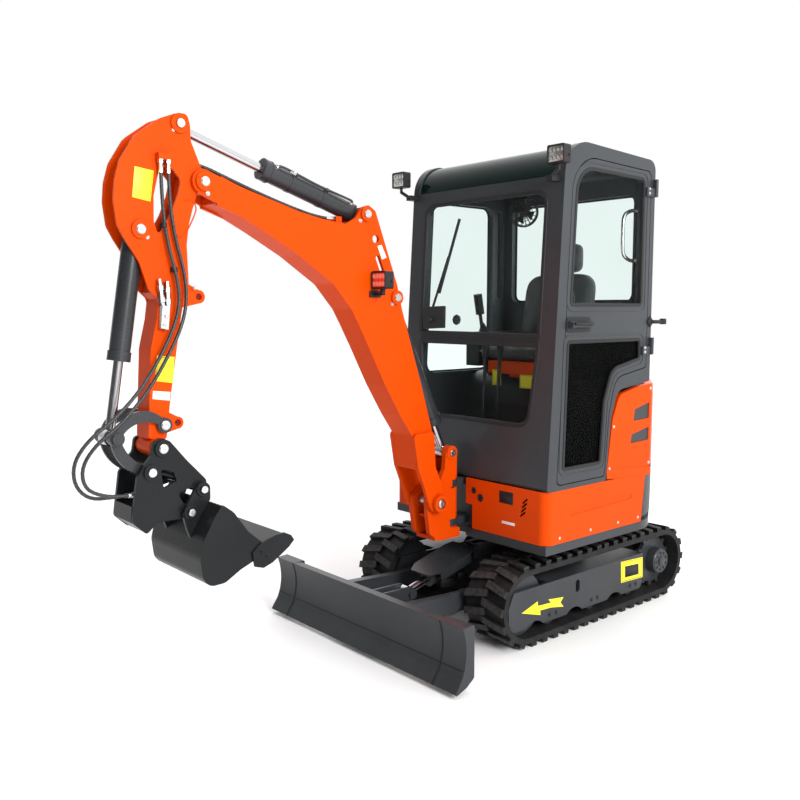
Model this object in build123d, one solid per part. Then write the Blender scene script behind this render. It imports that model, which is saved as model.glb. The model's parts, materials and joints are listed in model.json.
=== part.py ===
from build123d import *
import os
from math import atan2, cos, degrees, hypot, pi, radians, sin

os.makedirs("parts", exist_ok=True)

# A mini excavator with a closed cab, rubber tracks, a swing boom, a quick hitch and a wide bucket.
# Millimetres. X points forward, Y to the machine's left and Z up from the ground. The pieces are
# drawn with the slew axis on X = 0, Y = 0, and are moved together before they are written.

# Fits and clearances
PIN_FIT = 0.4
SEAT_FIT = 0.3
SIDE_PLAY = 3.0
ROD_FIT = 0.5
PANEL_GAP = 4.0
DOOR_GAP = 4.0

# Tracks
TRACK_MIDDLE = 376.0
TRACK_WIDTH = 230.0
WHEEL_X = 533.0
TRACK_HEIGHT = 376.0
BELT_THICKNESS = 25.0
LUG_HEIGHT = 20.0
LUG_LENGTH = 34.0
LUG_SLANT = 26.0
LUG_PITCHES = 42
GUIDES = 22
GUIDE_HEIGHT = 24.0
GUIDE_WIDTH = 36.0
GUIDE_LENGTH = 26.0
LUG_ROOT = 3.0

# Track frames and wheels
FRAME_PLATE = 16.0
FRAME_HALF_WIDTH = 85.0
FRAME_FRONT_TOP = 605.0
FRAME_FRONT = 639.0
FRAME_REAR = -388.0
FRAME_LOW = 80.0
FRAME_TOP = 257.0
ROLLER_X = (329.0, 13.0, -309.0)
ROLLER_HALF_WIDTH = 62.0
WHEEL_RIM = 60.0
SPROCKET_TEETH = 13
SPROCKET_GAP = 3.0
HUB_RADIUS = 66.0
CARRIER_X = 60.0
CARRIER_RADIUS = 30.0
AXLE_RADIUS = 22.0

# Centre frame and slew ring
CENTRE_HALF_LENGTH = 300.0
CENTRE_HALF_WIDTH = 170.0
CENTRE_LOW = 120.0
CENTRE_TOP = 330.0
PEDESTAL_RADIUS = 240.0
PEDESTAL_TOP = 400.0
RING_OUTER = 235.0
RING_INNER = 195.0
RING_TOP = 432.0
BEAM_X = 190.0
BEAM_SIZE = 90.0

# Blade
BLADE_WIDTH = 1300.0
WING_WIDTH = 145.0
BLADE_TOP = 276.0
BLADE_BOTTOM = 16.0
BLADE_EDGE_X = 1150.0
BLADE_TOP_X = 1111.0
BLADE_HOLLOW_X = 1092.0
BLADE_PLATE = 14.0
BLADE_TOP_DEPTH = 40.0
WING_BACK_X = 1047.0
BLADE_PIVOT = (330.0, 190.0)
BLADE_ARM_Y = 205.0
BLADE_ARM_THICK = 40.0
BLADE_ARM_HEIGHT = 104.0
BLADE_CYL_BASE = (395.0, 322.0)
BLADE_CYL_ROD = (830.0, 200.0)
BLADE_LUG = 14.0

# House
HOUSE_Y = 55.0
HOUSE_HALF = 545.0
HOUSE_FRONT = 562.0
TAIL_SHOULDER = -215.0
TAIL_REAR = -760.0
TAIL_HALF = 199.0
DECK_LOW = 445.0
DECK_TOP = 487.0
DECK_INSET = 3.0
SKIRT_LOW = 487.3
SKIRT_TOP = 722.0
PANEL = 8.0
SKIRT_RIGHT_EDGE = 118.0
SKIRT_STEP_EDGE = 160.0
SKIRT_STEP_Z = 600.0
SKIRT_REAR = -150.0
RIGHT_COVER_INNER = -345.0
RIGHT_COVER_FRONT = 470.0
WEIGHT_TOP = 742.0
WEIGHT_WALL = 90.0
HOOD_TOP = 1150.0
HOOD_LOW = 752.0
HOOD_WALL = 10.0
COWL_FRONT = 136.0
HOOD_HINGE = (-198.0, 1174.0)
HOOD_HINGE_Y = (-210.0, 290.0)

# Swing post
SWING_X = 630.0
KNUCKLE_RADIUS = 52.0
KINGPIN_RADIUS = 22.0
KNUCKLE_LOW = (500.0, 534.0)
KNUCKLE_HIGH = (684.0, 718.0)
KNUCKLE_PLAY = 2.0

# Pins of the front, each as (x, z) on the boom's middle plane
FOOT_PIN = (760.0, 632.0)
BOOM_CYL_ROD = (655.0, 848.0)
BOOM_CYL_BASE = (994.0, 1552.0)
ARM_CYL_BASE = (1156.0, 1889.0)
ARM_PIVOT = (1888.0, 1951.0)
ARM_CYL_ROD = (1968.0, 2142.0)
BUCKET_CYL_BASE = (2123.0, 1773.0)
LINK_PIVOT = (2061.0, 1100.0)
LINK_JOINT = (2236.0, 1068.0)
HITCH_PIVOT = (2082.0, 1022.0)
HITCH_LINK = (2126.0, 943.0)
BUCKET_PIN_HIGH = (1940.0, 862.0)
BUCKET_PIN_LOW = (1991.0, 786.0)
THUMB_PIN_HIGH = (1900.0, 1548.0)
THUMB_PIN_LOW = (1995.0, 1100.0)
PIN_RADIUS = 17.0
THUMB_BORE = 12.5

# Half widths about the boom's middle plane
BOOM_HALF = 65.0
BOOM_SLOT_HALF = 50.0
ARM_HALF = 48.0
ARM_PLATE = 9.0
BRACKET_HALF = 62.0
BRACKET_PLATE = 24.0
FOOT_CHEEK = 18.0
FOOT_BOSS_HALF = 107.0
LINK_PLATE = 12.0
HITCH_HALF = 82.0
HITCH_PLATE = 14.0
EAR_PLATE = 14.0

# Cylinders: barrel and rod radii, the barrel's length from its pin, and the rod's travel both ways
BOOM_CYL = dict(barrel=42.0, rod=19.0, length=628.0, out=185.0, back=70.0)
ARM_CYL = dict(barrel=38.0, rod=18.0, length=480.0, out=75.0, back=245.0)
BUCKET_CYL = dict(barrel=36.0, rod=17.0, length=452.0, out=82.0, back=186.0)
BLADE_CYL = dict(barrel=36.0, rod=19.0, length=318.0, out=42.0, back=56.0)
EYE_RADIUS = 30.0
EYE_HALF = 24.0

# Bucket
BUCKET_HALF = 195.0
BUCKET_WALL = 10.0
EDGE_LENGTH = 150.0

# Cab
CAB_RIGHT = -340.0
CAB_LEFT = 600.0
CAB_LOW = 722.3
CAB_FRONT_LOW = 562.0
CAB_FRONT_HIGH = 470.0
CAB_ROOF_FRONT = 2216.0
CAB_ROOF_REAR = 2186.0
CAB_REAR = -185.0
CAB_WALL = 34.0
CAB_FLOOR = 30.0
GLASS = 6.0
DOOR_REAR = -150.0
DOOR_HINGE = (-175.0, 614.0)
DOOR_KNUCKLES = ((1290.0, 1370.0), (2020.0, 2100.0))
BELT_LOW = 1363.0
BELT_HIGH = 1522.0
VISOR_INSET = 42.0


# Helpers
def face_of(points, radii=0):
    """Flat face through the corner points, with each corner rounded where a radius is given."""
    if radii == 0:
        return make_face(Polyline(*points, close=True))
    return make_face(FilletPolyline(*points, radius=radii, close=True))


def across(face, y_low, y_high):
    """Solid from an outline seen from the left side, between two planes across the machine."""
    return extrude(Plane.XZ.offset(-y_high) * face, amount=y_high - y_low)


def upward(face, z_low, z_high):
    """Solid from a plan outline, between two levels."""
    return extrude(Plane.XY.offset(z_low) * face, amount=z_high - z_low)


def block(x_low, x_high, y_low, y_high, z_low, z_high):
    size = (x_high - x_low, y_high - y_low, z_high - z_low)
    middle = ((x_low + x_high) / 2, (y_low + y_high) / 2, (z_low + z_high) / 2)
    return Pos(*middle) * Box(*size)


def pin(place, radius, y_low, y_high):
    """Round bar across the machine at an (x, z) place."""
    middle = Pos(place[0], (y_low + y_high) / 2, place[1])
    return middle * Rot(90, 0, 0) * Cylinder(radius, y_high - y_low)


def post(x, y, radius, z_low, z_high):
    return Pos(x, y, (z_low + z_high) / 2) * Cylinder(radius, z_high - z_low)


def bar(start, end, radius):
    """Round bar between two points."""
    run = Vector(*end) - Vector(*start)
    return Plane(origin=start, z_dir=run) * extrude(Circle(radius), amount=run.length)


def both_sides(y_inner, y_outer, make):
    """The same shape on each side of the boom's middle plane."""
    return [make(HOUSE_Y + y_inner, HOUSE_Y + y_outer), make(HOUSE_Y - y_outer, HOUSE_Y - y_inner)]


def fused(first, *others):
    solid = first
    for other in others:
        for piece in other if isinstance(other, (list, tuple)) else [other]:
            solid = solid + piece
    return solid


def cut_from(solid, *tools):
    for tool in tools:
        solid = solid - tool
    return solid


def right_of(solid):
    """The same piece on the other side of the machine's middle plane."""
    return mirror(solid, about=Plane.XZ)


def heading(start, end):
    """Unit vector in the side view, and the distance."""
    dx, dz = end[0] - start[0], end[1] - start[1]
    length = hypot(dx, dz)
    return dx / length, dz / length, length


def toward(start, end, distance):
    ux, uz, _ = heading(start, end)
    return (start[0] + ux * distance, start[1] + uz * distance)


def cylinder_pair(base, rod_pin, sizes, y=HOUSE_Y, eye_half=EYE_HALF, base_bore=True):
    """Barrel with its eye on the base pin, and chrome rod with its own closed eye."""
    total = heading(base, rod_pin)[2]
    length = sizes["length"]
    collar = length - 34
    tube = bar((*_at(base, rod_pin, EYE_RADIUS - 6, y),), (*_at(base, rod_pin, collar, y),), sizes["barrel"])
    gland_start, gland_end = _at(base, rod_pin, collar, y), _at(base, rod_pin, length, y)
    barrel = tube + bar(gland_start, gland_end, sizes["barrel"] + 4)
    barrel = barrel + pin(base, EYE_RADIUS, y - eye_half, y + eye_half)
    bore_start = length - sizes["out"] - sizes["back"] - 60
    bore = bar(_at(base, rod_pin, bore_start, y), _at(base, rod_pin, length + 5, y), sizes["rod"] + ROD_FIT)
    barrel = barrel - bore
    if base_bore:
        side = sizes["barrel"] + 40
        flats = [
            block(base[0] - side, base[0] + side, y + eye_half, y + side, base[1] - side, base[1] + side),
            block(base[0] - side, base[0] + side, y - side, y - eye_half, base[1] - side, base[1] + side),
        ]
        near = pin(base, EYE_RADIUS + 16, y - side, y + side)
        for flat in flats:
            barrel = barrel - (flat & near)
        barrel = barrel - pin(base, PIN_RADIUS + PIN_FIT, y - side, y + side)
    rod_start = length - sizes["out"] - 25
    rod = bar(_at(base, rod_pin, rod_start, y), _at(base, rod_pin, total - EYE_RADIUS + 6, y), sizes["rod"])
    rod = rod + pin(rod_pin, EYE_RADIUS, y - eye_half, y + eye_half)
    return barrel, rod


def _at(base, rod_pin, distance, y):
    x, z = toward(base, rod_pin, distance)
    return (x, y, z)


# Undercarriage
AXLE_Z = TRACK_HEIGHT / 2
BELT_OUT = AXLE_Z - LUG_HEIGHT
BELT_IN = BELT_OUT - BELT_THICKNESS
FRAME_OUTER = TRACK_MIDDLE + FRAME_HALF_WIDTH
FRAME_INNER = TRACK_MIDDLE - FRAME_HALF_WIDTH


def loop_face(radius):
    return Pos(0, AXLE_Z) * SlotCenterToCenter(2 * WHEEL_X, 2 * radius)


def loop_place(distance, radius):
    """Place and outward direction at a distance along the belt, from the top run's middle."""
    straight, turn = 2 * WHEEL_X, pi * radius
    s = (distance + WHEEL_X) % (2 * straight + 2 * turn)
    if s < straight:
        return (s - WHEEL_X, AXLE_Z + radius, 90.0)
    s -= straight
    if s < turn:
        angle = pi / 2 - s / radius
        return (WHEEL_X + radius * cos(angle), AXLE_Z + radius * sin(angle), degrees(angle))
    s -= turn
    if s < straight:
        return (WHEEL_X - s, AXLE_Z - radius, -90.0)
    s -= straight
    angle = -pi / 2 - s / radius
    return (-WHEEL_X + radius * cos(angle), AXLE_Z + radius * sin(angle), degrees(angle))


def on_belt(distance, radius, y):
    """Plane on the belt: local X along the run, local Y across it, local Z outward."""
    x, z, angle = loop_place(distance, radius)
    out = (cos(radians(angle)), 0, sin(radians(angle)))
    return Plane(origin=(x, y, z), x_dir=(out[2], 0, -out[0]), z_dir=out)


def track():
    belt = across(loop_face(BELT_OUT) - loop_face(BELT_IN), TRACK_MIDDLE - TRACK_WIDTH / 2,
                  TRACK_MIDDLE + TRACK_WIDTH / 2)
    pitch = (4 * WHEEL_X + 2 * pi * BELT_OUT) / LUG_PITCHES
    guide_pitch = (4 * WHEEL_X + 2 * pi * BELT_IN) / GUIDES
    half = LUG_LENGTH / 2
    edge = TRACK_WIDTH / 2
    lug = face_of([(-half, -10), (half, -10), (half + LUG_SLANT, edge), (LUG_SLANT - half, edge)])
    corner_rise = AXLE_Z - (AXLE_Z ** 2 - (half + LUG_SLANT) ** 2) ** 0.5
    solids = []
    for step in range(LUG_PITCHES):
        for row, shift in ((1, 0.0), (-1, 0.5)):
            plane = on_belt((step + shift) * pitch, BELT_OUT - LUG_ROOT, TRACK_MIDDLE)
            outline = lug if row == 1 else mirror(lug, about=Plane.XZ)
            height = LUG_HEIGHT + LUG_ROOT
            if abs(plane.z_dir.X) > 0.001:
                height = height - corner_rise
            solids.append(extrude(plane * outline, amount=height, dir=plane.z_dir))
    for step in range(GUIDES):
        plane = on_belt(step * guide_pitch, BELT_IN + LUG_ROOT, TRACK_MIDDLE)
        guide = plane * Rectangle(GUIDE_LENGTH, GUIDE_WIDTH)
        solids.append(extrude(guide, amount=GUIDE_HEIGHT + LUG_ROOT, dir=-plane.z_dir))
    return belt.fuse(*solids)


def frame_side_face():
    """Side plate of a track frame, arched along its foot between the rollers."""
    points = [(FRAME_FRONT_TOP, FRAME_TOP), (FRAME_FRONT, FRAME_TOP - 70), (FRAME_FRONT - 6, FRAME_LOW + 20),
              (FRAME_FRONT - 40, FRAME_LOW - 6), (FRAME_REAR + 20, FRAME_LOW - 6), (FRAME_REAR, FRAME_LOW + 20),
              (FRAME_REAR, FRAME_TOP)]
    plate = face_of(points)
    arches = [(ROLLER_X[0] + ROLLER_X[1]) / 2, (ROLLER_X[1] + ROLLER_X[2]) / 2, ROLLER_X[0] + 130]
    for x in arches:
        plate = plate - Pos(x, FRAME_LOW - 66) * Circle(84)
    return plate


def track_frame():
    inner_end = FRAME_INNER + FRAME_PLATE
    outer_start = FRAME_OUTER - FRAME_PLATE
    side = frame_side_face()
    hole = Pos(150, 196) * Rot(0, 0, 90) * SlotOverall(60, 30)
    outer = across(side - hole, outer_start, FRAME_OUTER)
    tail = face_of([(FRAME_REAR, 130), (FRAME_REAR, FRAME_TOP), (-WHEEL_X, AXLE_Z + 92), (-WHEEL_X, AXLE_Z - 92)])
    inner = across(side + tail + Pos(-WHEEL_X, AXLE_Z) * Circle(92), FRAME_INNER, inner_end)
    top = block(FRAME_REAR, 360, inner_end, outer_start, FRAME_TOP - FRAME_PLATE, FRAME_TOP)
    web = block(FRAME_REAR, FRAME_REAR + FRAME_PLATE, inner_end, outer_start, 110, FRAME_TOP - FRAME_PLATE)
    carrier_arm = block(CARRIER_X - 18, CARRIER_X + 18, inner_end + 6, inner_end + 22,
                        FRAME_TOP - 2, AXLE_Z + BELT_IN - CARRIER_RADIUS)
    return fused(outer, inner, top, web, carrier_arm)


def grooved_wheel(place, radius, half_width, end_half, axle=AXLE_RADIUS):
    """Wheel with a groove for the belt's guides, and a hub that reaches the plates beside it."""
    groove = radius - GUIDE_HEIGHT - 4
    y = TRACK_MIDDLE
    wheel = pin(place, groove, y - half_width, y + half_width)
    rim = GUIDE_WIDTH / 2 + 6
    for low, high in ((y - half_width, y - rim), (y + rim, y + half_width)):
        wheel = wheel + pin(place, radius, low, high)
    return wheel + pin(place, axle, y - end_half, y + end_half)


def idler():
    reach = FRAME_HALF_WIDTH - FRAME_PLATE - SEAT_FIT
    return grooved_wheel((WHEEL_X, AXLE_Z), BELT_IN - SEAT_FIT, WHEEL_RIM, reach, 45)


def rollers():
    reach = FRAME_HALF_WIDTH - FRAME_PLATE - SEAT_FIT
    floor = AXLE_Z - BELT_IN
    radius = 42.0
    place_z = floor + radius + SEAT_FIT
    solids = [grooved_wheel((x, place_z), radius, ROLLER_HALF_WIDTH - 6, reach, 12) for x in ROLLER_X]
    top = AXLE_Z + BELT_IN - SEAT_FIT - CARRIER_RADIUS
    carrier_start = FRAME_INNER + FRAME_PLATE + 22 + SEAT_FIT
    carrier = pin((CARRIER_X, top), CARRIER_RADIUS, carrier_start, carrier_start + 24)
    return solids + [carrier]


def sprocket():
    """Toothed drive wheel with its hub motor, on the frame's inner plate."""
    place = (-WHEEL_X, AXLE_Z)
    tip = BELT_IN - SPROCKET_GAP
    y = TRACK_MIDDLE
    wheel = Circle(tip - 20)
    for step in range(SPROCKET_TEETH):
        turn = 360.0 * step / SPROCKET_TEETH
        tooth = face_of([(tip - 30, -17), (tip, -8), (tip, 8), (tip - 30, 17)])
        wheel = wheel + Rot(0, 0, turn) * tooth
    disc = across(Pos(*place) * wheel, y + 26, y + 48)
    drum = pin(place, 84, FRAME_INNER + FRAME_PLATE + SEAT_FIT, y + 48)
    hub = pin(place, HUB_RADIUS, y + 44, y + 104)
    cover = chamfer(hub.faces().sort_by(Axis.Y)[-1].edges(), 8)
    return fused(disc, drum, cover)


def centre_frame():
    solid = block(-CENTRE_HALF_LENGTH, CENTRE_HALF_LENGTH, -CENTRE_HALF_WIDTH, CENTRE_HALF_WIDTH,
                  CENTRE_LOW, CENTRE_TOP)
    solid = chamfer(solid.edges().filter_by(Axis.Y), 40)
    solid = solid + post(0, 0, PEDESTAL_RADIUS, CENTRE_TOP - 60, PEDESTAL_TOP)
    reach = FRAME_INNER - SEAT_FIT
    half = BEAM_SIZE / 2
    for x in (-BEAM_X, BEAM_X):
        solid = solid + block(x - half, x + half, -reach, reach, AXLE_Z - half, AXLE_Z + half)
    x, z = BLADE_PIVOT
    inner = BLADE_ARM_THICK / 2 + SIDE_PLAY
    ear = face_of([(x - 90, z - 50), (x, z - 44), (x + 44, z), (x, z + 44), (x - 90, z + 60)], 20)
    for side in (-1, 1):
        for offset in (-inner - 16, inner):
            middle = side * BLADE_ARM_Y + offset
            solid = solid + across(ear, middle, middle + 16)
        low, high = side * BLADE_ARM_Y - inner - 16, side * BLADE_ARM_Y + inner + 16
        solid = solid + block(x - 110, x - 75, low, high, z - 50, z + 60)
        solid = solid + pin(BLADE_PIVOT, PIN_RADIUS, low - 6, high + 6)
    base_x, base_z = BLADE_CYL_BASE
    lug = face_of([(base_x - 170, base_z - 60), (base_x + 20, base_z - 34), (base_x + 34, base_z),
                   (base_x + 10, base_z + 34), (base_x - 60, base_z + 34), (base_x - 170, base_z + 8)], 14)
    gap = EYE_HALF + SIDE_PLAY
    for low, high in ((gap, gap + 16), (-gap - 16, -gap)):
        solid = solid + across(lug, low, high)
    return solid + pin(BLADE_CYL_BASE, PIN_RADIUS, -gap - 20, gap + 20)


def slew_ring():
    return post(0, 0, RING_OUTER, PEDESTAL_TOP, RING_TOP) - post(0, 0, RING_INNER, PEDESTAL_TOP, RING_TOP)


# Blade
def blade_front():
    """Hollow front of the blade from its top to the foot of its cutting edge."""
    curve = ThreePointArc((BLADE_TOP_X, BLADE_TOP), (BLADE_HOLLOW_X, 165), (1114, 74))
    edge = Polyline((1114, 74), (BLADE_EDGE_X, BLADE_BOTTOM + 6), (BLADE_EDGE_X - 8, BLADE_BOTTOM))
    return curve, edge


def blade_plate_face():
    curve, edge = blade_front()
    back = BLADE_PLATE
    foot = Polyline((BLADE_EDGE_X - 8, BLADE_BOTTOM), (1104, 66))
    rear = ThreePointArc((1104, 66), (BLADE_HOLLOW_X - back, 165), (BLADE_TOP_X - back, BLADE_TOP - 26))
    top_back = BLADE_TOP_X - BLADE_TOP_DEPTH
    top = Polyline((BLADE_TOP_X - back, BLADE_TOP - 26), (top_back, BLADE_TOP - 26), (top_back, BLADE_TOP),
                   (BLADE_TOP_X, BLADE_TOP))
    return make_face(Curve() + [curve, edge, foot, rear, top])


def blade_wing_face():
    curve, edge = blade_front()
    rear = FilletPolyline((BLADE_EDGE_X - 8, BLADE_BOTTOM), (1090, 34), (WING_BACK_X, 64),
                          (WING_BACK_X, BLADE_TOP + 4), (BLADE_TOP_X, BLADE_TOP), radius=[14, 14, 8])
    return make_face(Curve() + [curve, edge, rear])


def blade_arm_face():
    x, z = BLADE_PIVOT
    half = BLADE_ARM_HEIGHT / 2
    return face_of([(x, z + 40), (700, z + 30), (BLADE_HOLLOW_X - 20, z + half), (BLADE_HOLLOW_X - 20, z - half - 40),
                    (1000, z - half - 40), (700, z - half), (x, z - 40)])


def blade():
    inner = BLADE_WIDTH / 2 - WING_WIDTH - SEAT_FIT
    solid = across(blade_plate_face(), -inner, inner)
    arm = blade_arm_face() + Pos(*BLADE_PIVOT) * Circle(40)
    bore = Pos(*BLADE_PIVOT) * Circle(PIN_RADIUS + PIN_FIT)
    half = BLADE_ARM_THICK / 2
    for side in (-1, 1):
        solid = solid + across(arm - bore, side * BLADE_ARM_Y - half, side * BLADE_ARM_Y + half)
    reach = BLADE_ARM_Y - half
    solid = solid + block(1010, 1060, -reach, reach, 110, 170)
    x, z = BLADE_CYL_ROD
    lug = face_of([(x, z + 34), (x - 34, z), (x, z - 34), (1020, 112), (BLADE_HOLLOW_X - 8, 112),
                   (BLADE_HOLLOW_X - 8, z + 40)], [20, 20, 20, 0, 0, 0])
    gap = EYE_HALF + SIDE_PLAY
    for low, high in ((gap, gap + BLADE_LUG), (-gap - BLADE_LUG, -gap)):
        solid = solid + across(lug, low, high)
        outer = (high, high + 10) if low > 0 else (low - 10, low)
        solid = solid + pin(BLADE_CYL_ROD, PIN_RADIUS + 5, *outer)
    return solid


def blade_wings():
    inner, outer = BLADE_WIDTH / 2 - WING_WIDTH, BLADE_WIDTH / 2
    left = across(blade_wing_face(), inner, outer)
    return [left, right_of(left)]


def blade_cylinder():
    barrel, rod = cylinder_pair(BLADE_CYL_BASE, BLADE_CYL_ROD, BLADE_CYL, 0)
    ux, uz, _ = heading(BLADE_CYL_BASE, BLADE_CYL_ROD)
    angle = degrees(atan2(-uz, ux))
    lift = BLADE_CYL["barrel"] + 6
    plan = face_of([(46, -78), (96, -92), (300, -92), (352, -60), (352, 60), (300, 92), (96, 92), (46, 78)])
    place = Pos(BLADE_CYL_BASE[0], 0, BLADE_CYL_BASE[1]) * Rot(0, angle, 0)
    plate = place * Pos(0, 0, lift) * extrude(plan, amount=8)
    for y in (-92, 86):
        plate = plate + place * block(96, 300, y, y + 6, lift - 40, lift + 4)
    saddle = place * block(120, 220, -22, 22, BLADE_CYL["barrel"] - 6, lift + 2)
    bore = bar(_at(BLADE_CYL_BASE, BLADE_CYL_ROD, 40, 0), _at(BLADE_CYL_BASE, BLADE_CYL_ROD, 320, 0),
               BLADE_CYL["rod"] + ROD_FIT)
    return barrel + ((plate + saddle) - bore), rod


# House
def tail_points(front, left=None, right=None):
    left = HOUSE_Y + HOUSE_HALF if left is None else left
    right = HOUSE_Y - HOUSE_HALF if right is None else right
    return [(front, left), (TAIL_SHOULDER, HOUSE_Y + HOUSE_HALF), (TAIL_REAR, HOUSE_Y + TAIL_HALF),
            (TAIL_REAR, HOUSE_Y - TAIL_HALF), (TAIL_SHOULDER, HOUSE_Y - HOUSE_HALF), (front, right)]


def tail_face(front, inset=0):
    """Plan of the house behind a plane across it, with its rounded tail, set in all round."""
    face = face_of(tail_points(HOUSE_FRONT + 200), [0, 260, 150, 150, 260, 0])
    if inset:
        face = offset(face, amount=-inset, kind=Kind.INTERSECTION)
    length = front - TAIL_REAR + 100
    return face & (Pos(front - length / 2, HOUSE_Y) * Rectangle(length, 3 * HOUSE_HALF))


def deck():
    """Deck plate with its slew spigot and the two knuckles that carry the swing post."""
    plan = tail_face(HOUSE_FRONT, DECK_INSET) & Pos(-DECK_INSET, 0) * tail_face(HOUSE_FRONT)
    solid = upward(plan, DECK_LOW, DECK_TOP)
    solid = solid - block(500, 600, -600, SKIRT_RIGHT_EDGE, DECK_LOW - 1, DECK_TOP + 1)
    solid = solid - block(RIGHT_COVER_FRONT - PANEL - SEAT_FIT, 600, -600, RIGHT_COVER_INNER, DECK_LOW - 1, DECK_TOP + 1)
    solid = solid + post(0, 0, RING_INNER - SEAT_FIT, PEDESTAL_TOP + 12, DECK_LOW + 2)
    tower = block(420, 520, HOUSE_Y - 62, HOUSE_Y + 62, DECK_LOW, KNUCKLE_HIGH[1])
    for low, high in (KNUCKLE_LOW, KNUCKLE_HIGH):
        tongue = block(480, SWING_X, HOUSE_Y - 40, HOUSE_Y + 40, low, high)
        solid = fused(solid, tongue, post(SWING_X, HOUSE_Y, KNUCKLE_RADIUS, low, high))
    solid = solid + tower
    return solid - post(SWING_X, HOUSE_Y, KINGPIN_RADIUS + PIN_FIT, DECK_LOW, KNUCKLE_HIGH[1] + 1)


def front_skirt():
    left = HOUSE_Y + HOUSE_HALF
    outer = face_of([(SKIRT_REAR - 40, SKIRT_RIGHT_EDGE), (HOUSE_FRONT, SKIRT_RIGHT_EDGE), (HOUSE_FRONT, left),
                     (SKIRT_REAR - 40, left)], [0, 0, 44, 0])
    inner = face_of([(SKIRT_REAR - 60, SKIRT_RIGHT_EDGE - 20), (HOUSE_FRONT - PANEL, SKIRT_RIGHT_EDGE - 20),
                     (HOUSE_FRONT - PANEL, left - PANEL), (SKIRT_REAR - 60, left - PANEL)], [0, 0, 44 - PANEL, 0])
    solid = upward(outer - inner, SKIRT_LOW, SKIRT_TOP)
    solid = solid - block(500, 600, 0, SKIRT_STEP_EDGE, 0, SKIRT_STEP_Z)
    rear_cut = face_of([(SKIRT_REAR - 100, 400), (SKIRT_REAR + 14, 400), (SKIRT_REAR - 34, 800), (SKIRT_REAR - 100, 800)])
    solid = solid - across(rear_cut, left - 60, left + 60)
    for y, z, radius in ((170, 668, 14), (212, 640, 17)):
        solid = solid - bar((HOUSE_FRONT - 40, y, z), (HOUSE_FRONT + 20, y, z), radius)
    slot = SlotOverall(42, 9)
    for step in range(4):
        place = Plane(origin=(HOUSE_FRONT - 40, 478 - 4 * step, 668 - 20 * step), x_dir=(0, 1, 0), z_dir=(1, 0, 0))
        solid = solid - extrude(place * Rot(0, 0, 40) * slot, amount=80)
    groove = across(Pos(170, 618) * Rot(0, 0, -1.5) * SlotOverall(470, 24), left - 3, left + 20)
    return solid - groove


def right_skirt():
    right = HOUSE_Y - HOUSE_HALF
    outer = face_of([(SKIRT_REAR, right), (RIGHT_COVER_FRONT, right), (RIGHT_COVER_FRONT, RIGHT_COVER_INNER),
                     (SKIRT_REAR, RIGHT_COVER_INNER)], [0, 44, 0, 0])
    inner = face_of([(SKIRT_REAR - 20, right + PANEL), (RIGHT_COVER_FRONT - PANEL, right + PANEL),
                     (RIGHT_COVER_FRONT - PANEL, RIGHT_COVER_INNER + 20), (SKIRT_REAR - 20, RIGHT_COVER_INNER + 20)],
                    [0, 44 - PANEL, 0, 0])
    return upward(outer - inner, SKIRT_LOW, SKIRT_TOP)


def right_cover():
    """Tank and battery cover beside the cab, sloped down towards the front."""
    right = HOUSE_Y - HOUSE_HALF
    low = SKIRT_TOP + SEAT_FIT
    side = face_of([(CAB_REAR, low), (CAB_REAR, HOOD_TOP), (230, HOOD_TOP), (372, 1030), (RIGHT_COVER_FRONT - 12, 880),
                    (RIGHT_COVER_FRONT, low)], [0, 0, 60, 60, 60, 0])
    solid = across(side, right, RIGHT_COVER_INNER)
    over_weight = (CAB_REAR - 1, SKIRT_REAR + PANEL_GAP, right - 1, RIGHT_COVER_INNER + 1, low - 1, WEIGHT_TOP + PANEL_GAP)
    solid = solid - block(*over_weight)
    outer_top = solid.edges().filter_by_position(Axis.Y, right - 0.1, right + 0.1)
    solid = fillet([e for e in outer_top if e.center().Z > low + 60 and e.center().X > CAB_REAR + 1], 26)
    for step in range(5):
        x = -110 + 34 * step
        solid = solid - block(x, x + 14, right - 1, right + 6, 900, 1050)
    return solid


def counterweight():
    outer = tail_face(SKIRT_REAR)
    inner = tail_face(SKIRT_REAR + 200, WEIGHT_WALL)
    solid = upward(outer - inner, SKIRT_LOW, WEIGHT_TOP)
    foot = solid.faces().sort_by(Axis.Z)[0].outer_wire().edges().filter_by(lambda e: e.center().X < SKIRT_REAR - 30)
    solid = chamfer(foot, 34, 22)
    keep = face_of([(SKIRT_REAR + 20, 400), (SKIRT_REAR + 14 - PANEL_GAP, 400), (SKIRT_REAR - 34 - PANEL_GAP, 800),
                    (SKIRT_REAR + 20, 800)])
    left = HOUSE_Y + HOUSE_HALF
    return solid - across(keep, HOUSE_Y, left + 60)


def engine_hood():
    """Rear hood: a round-backed shell that lifts about its front top edge."""
    outer = tail_face(TAIL_SHOULDER + 4)
    inner = tail_face(TAIL_SHOULDER + 60, HOOD_WALL)
    top_wall = HOOD_TOP - HOOD_WALL
    shell = upward(outer, HOOD_LOW, HOOD_TOP)
    rim = shell.faces().sort_by(Axis.Z)[-1].outer_wire().edges().filter_by(lambda e: e.center().X < TAIL_SHOULDER - 5)
    shell = chamfer(rim, 50, 34)
    shell = shell - upward(inner, HOOD_LOW - 1, top_wall - 30)
    shell = shell - upward(tail_face(TAIL_SHOULDER + 60, 70), top_wall - 31, top_wall)
    x, z = HOOD_HINGE
    for y in HOOD_HINGE_Y:
        shell = shell + pin(HOOD_HINGE, 8, y, y + 30) + block(x - 8, x - 1, y, y + 30, HOOD_TOP + 1, z)
        shell = shell + block(x - 60, x - 1, y, y + 30, HOOD_TOP - 4, HOOD_TOP + 7)
    return shell


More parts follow.
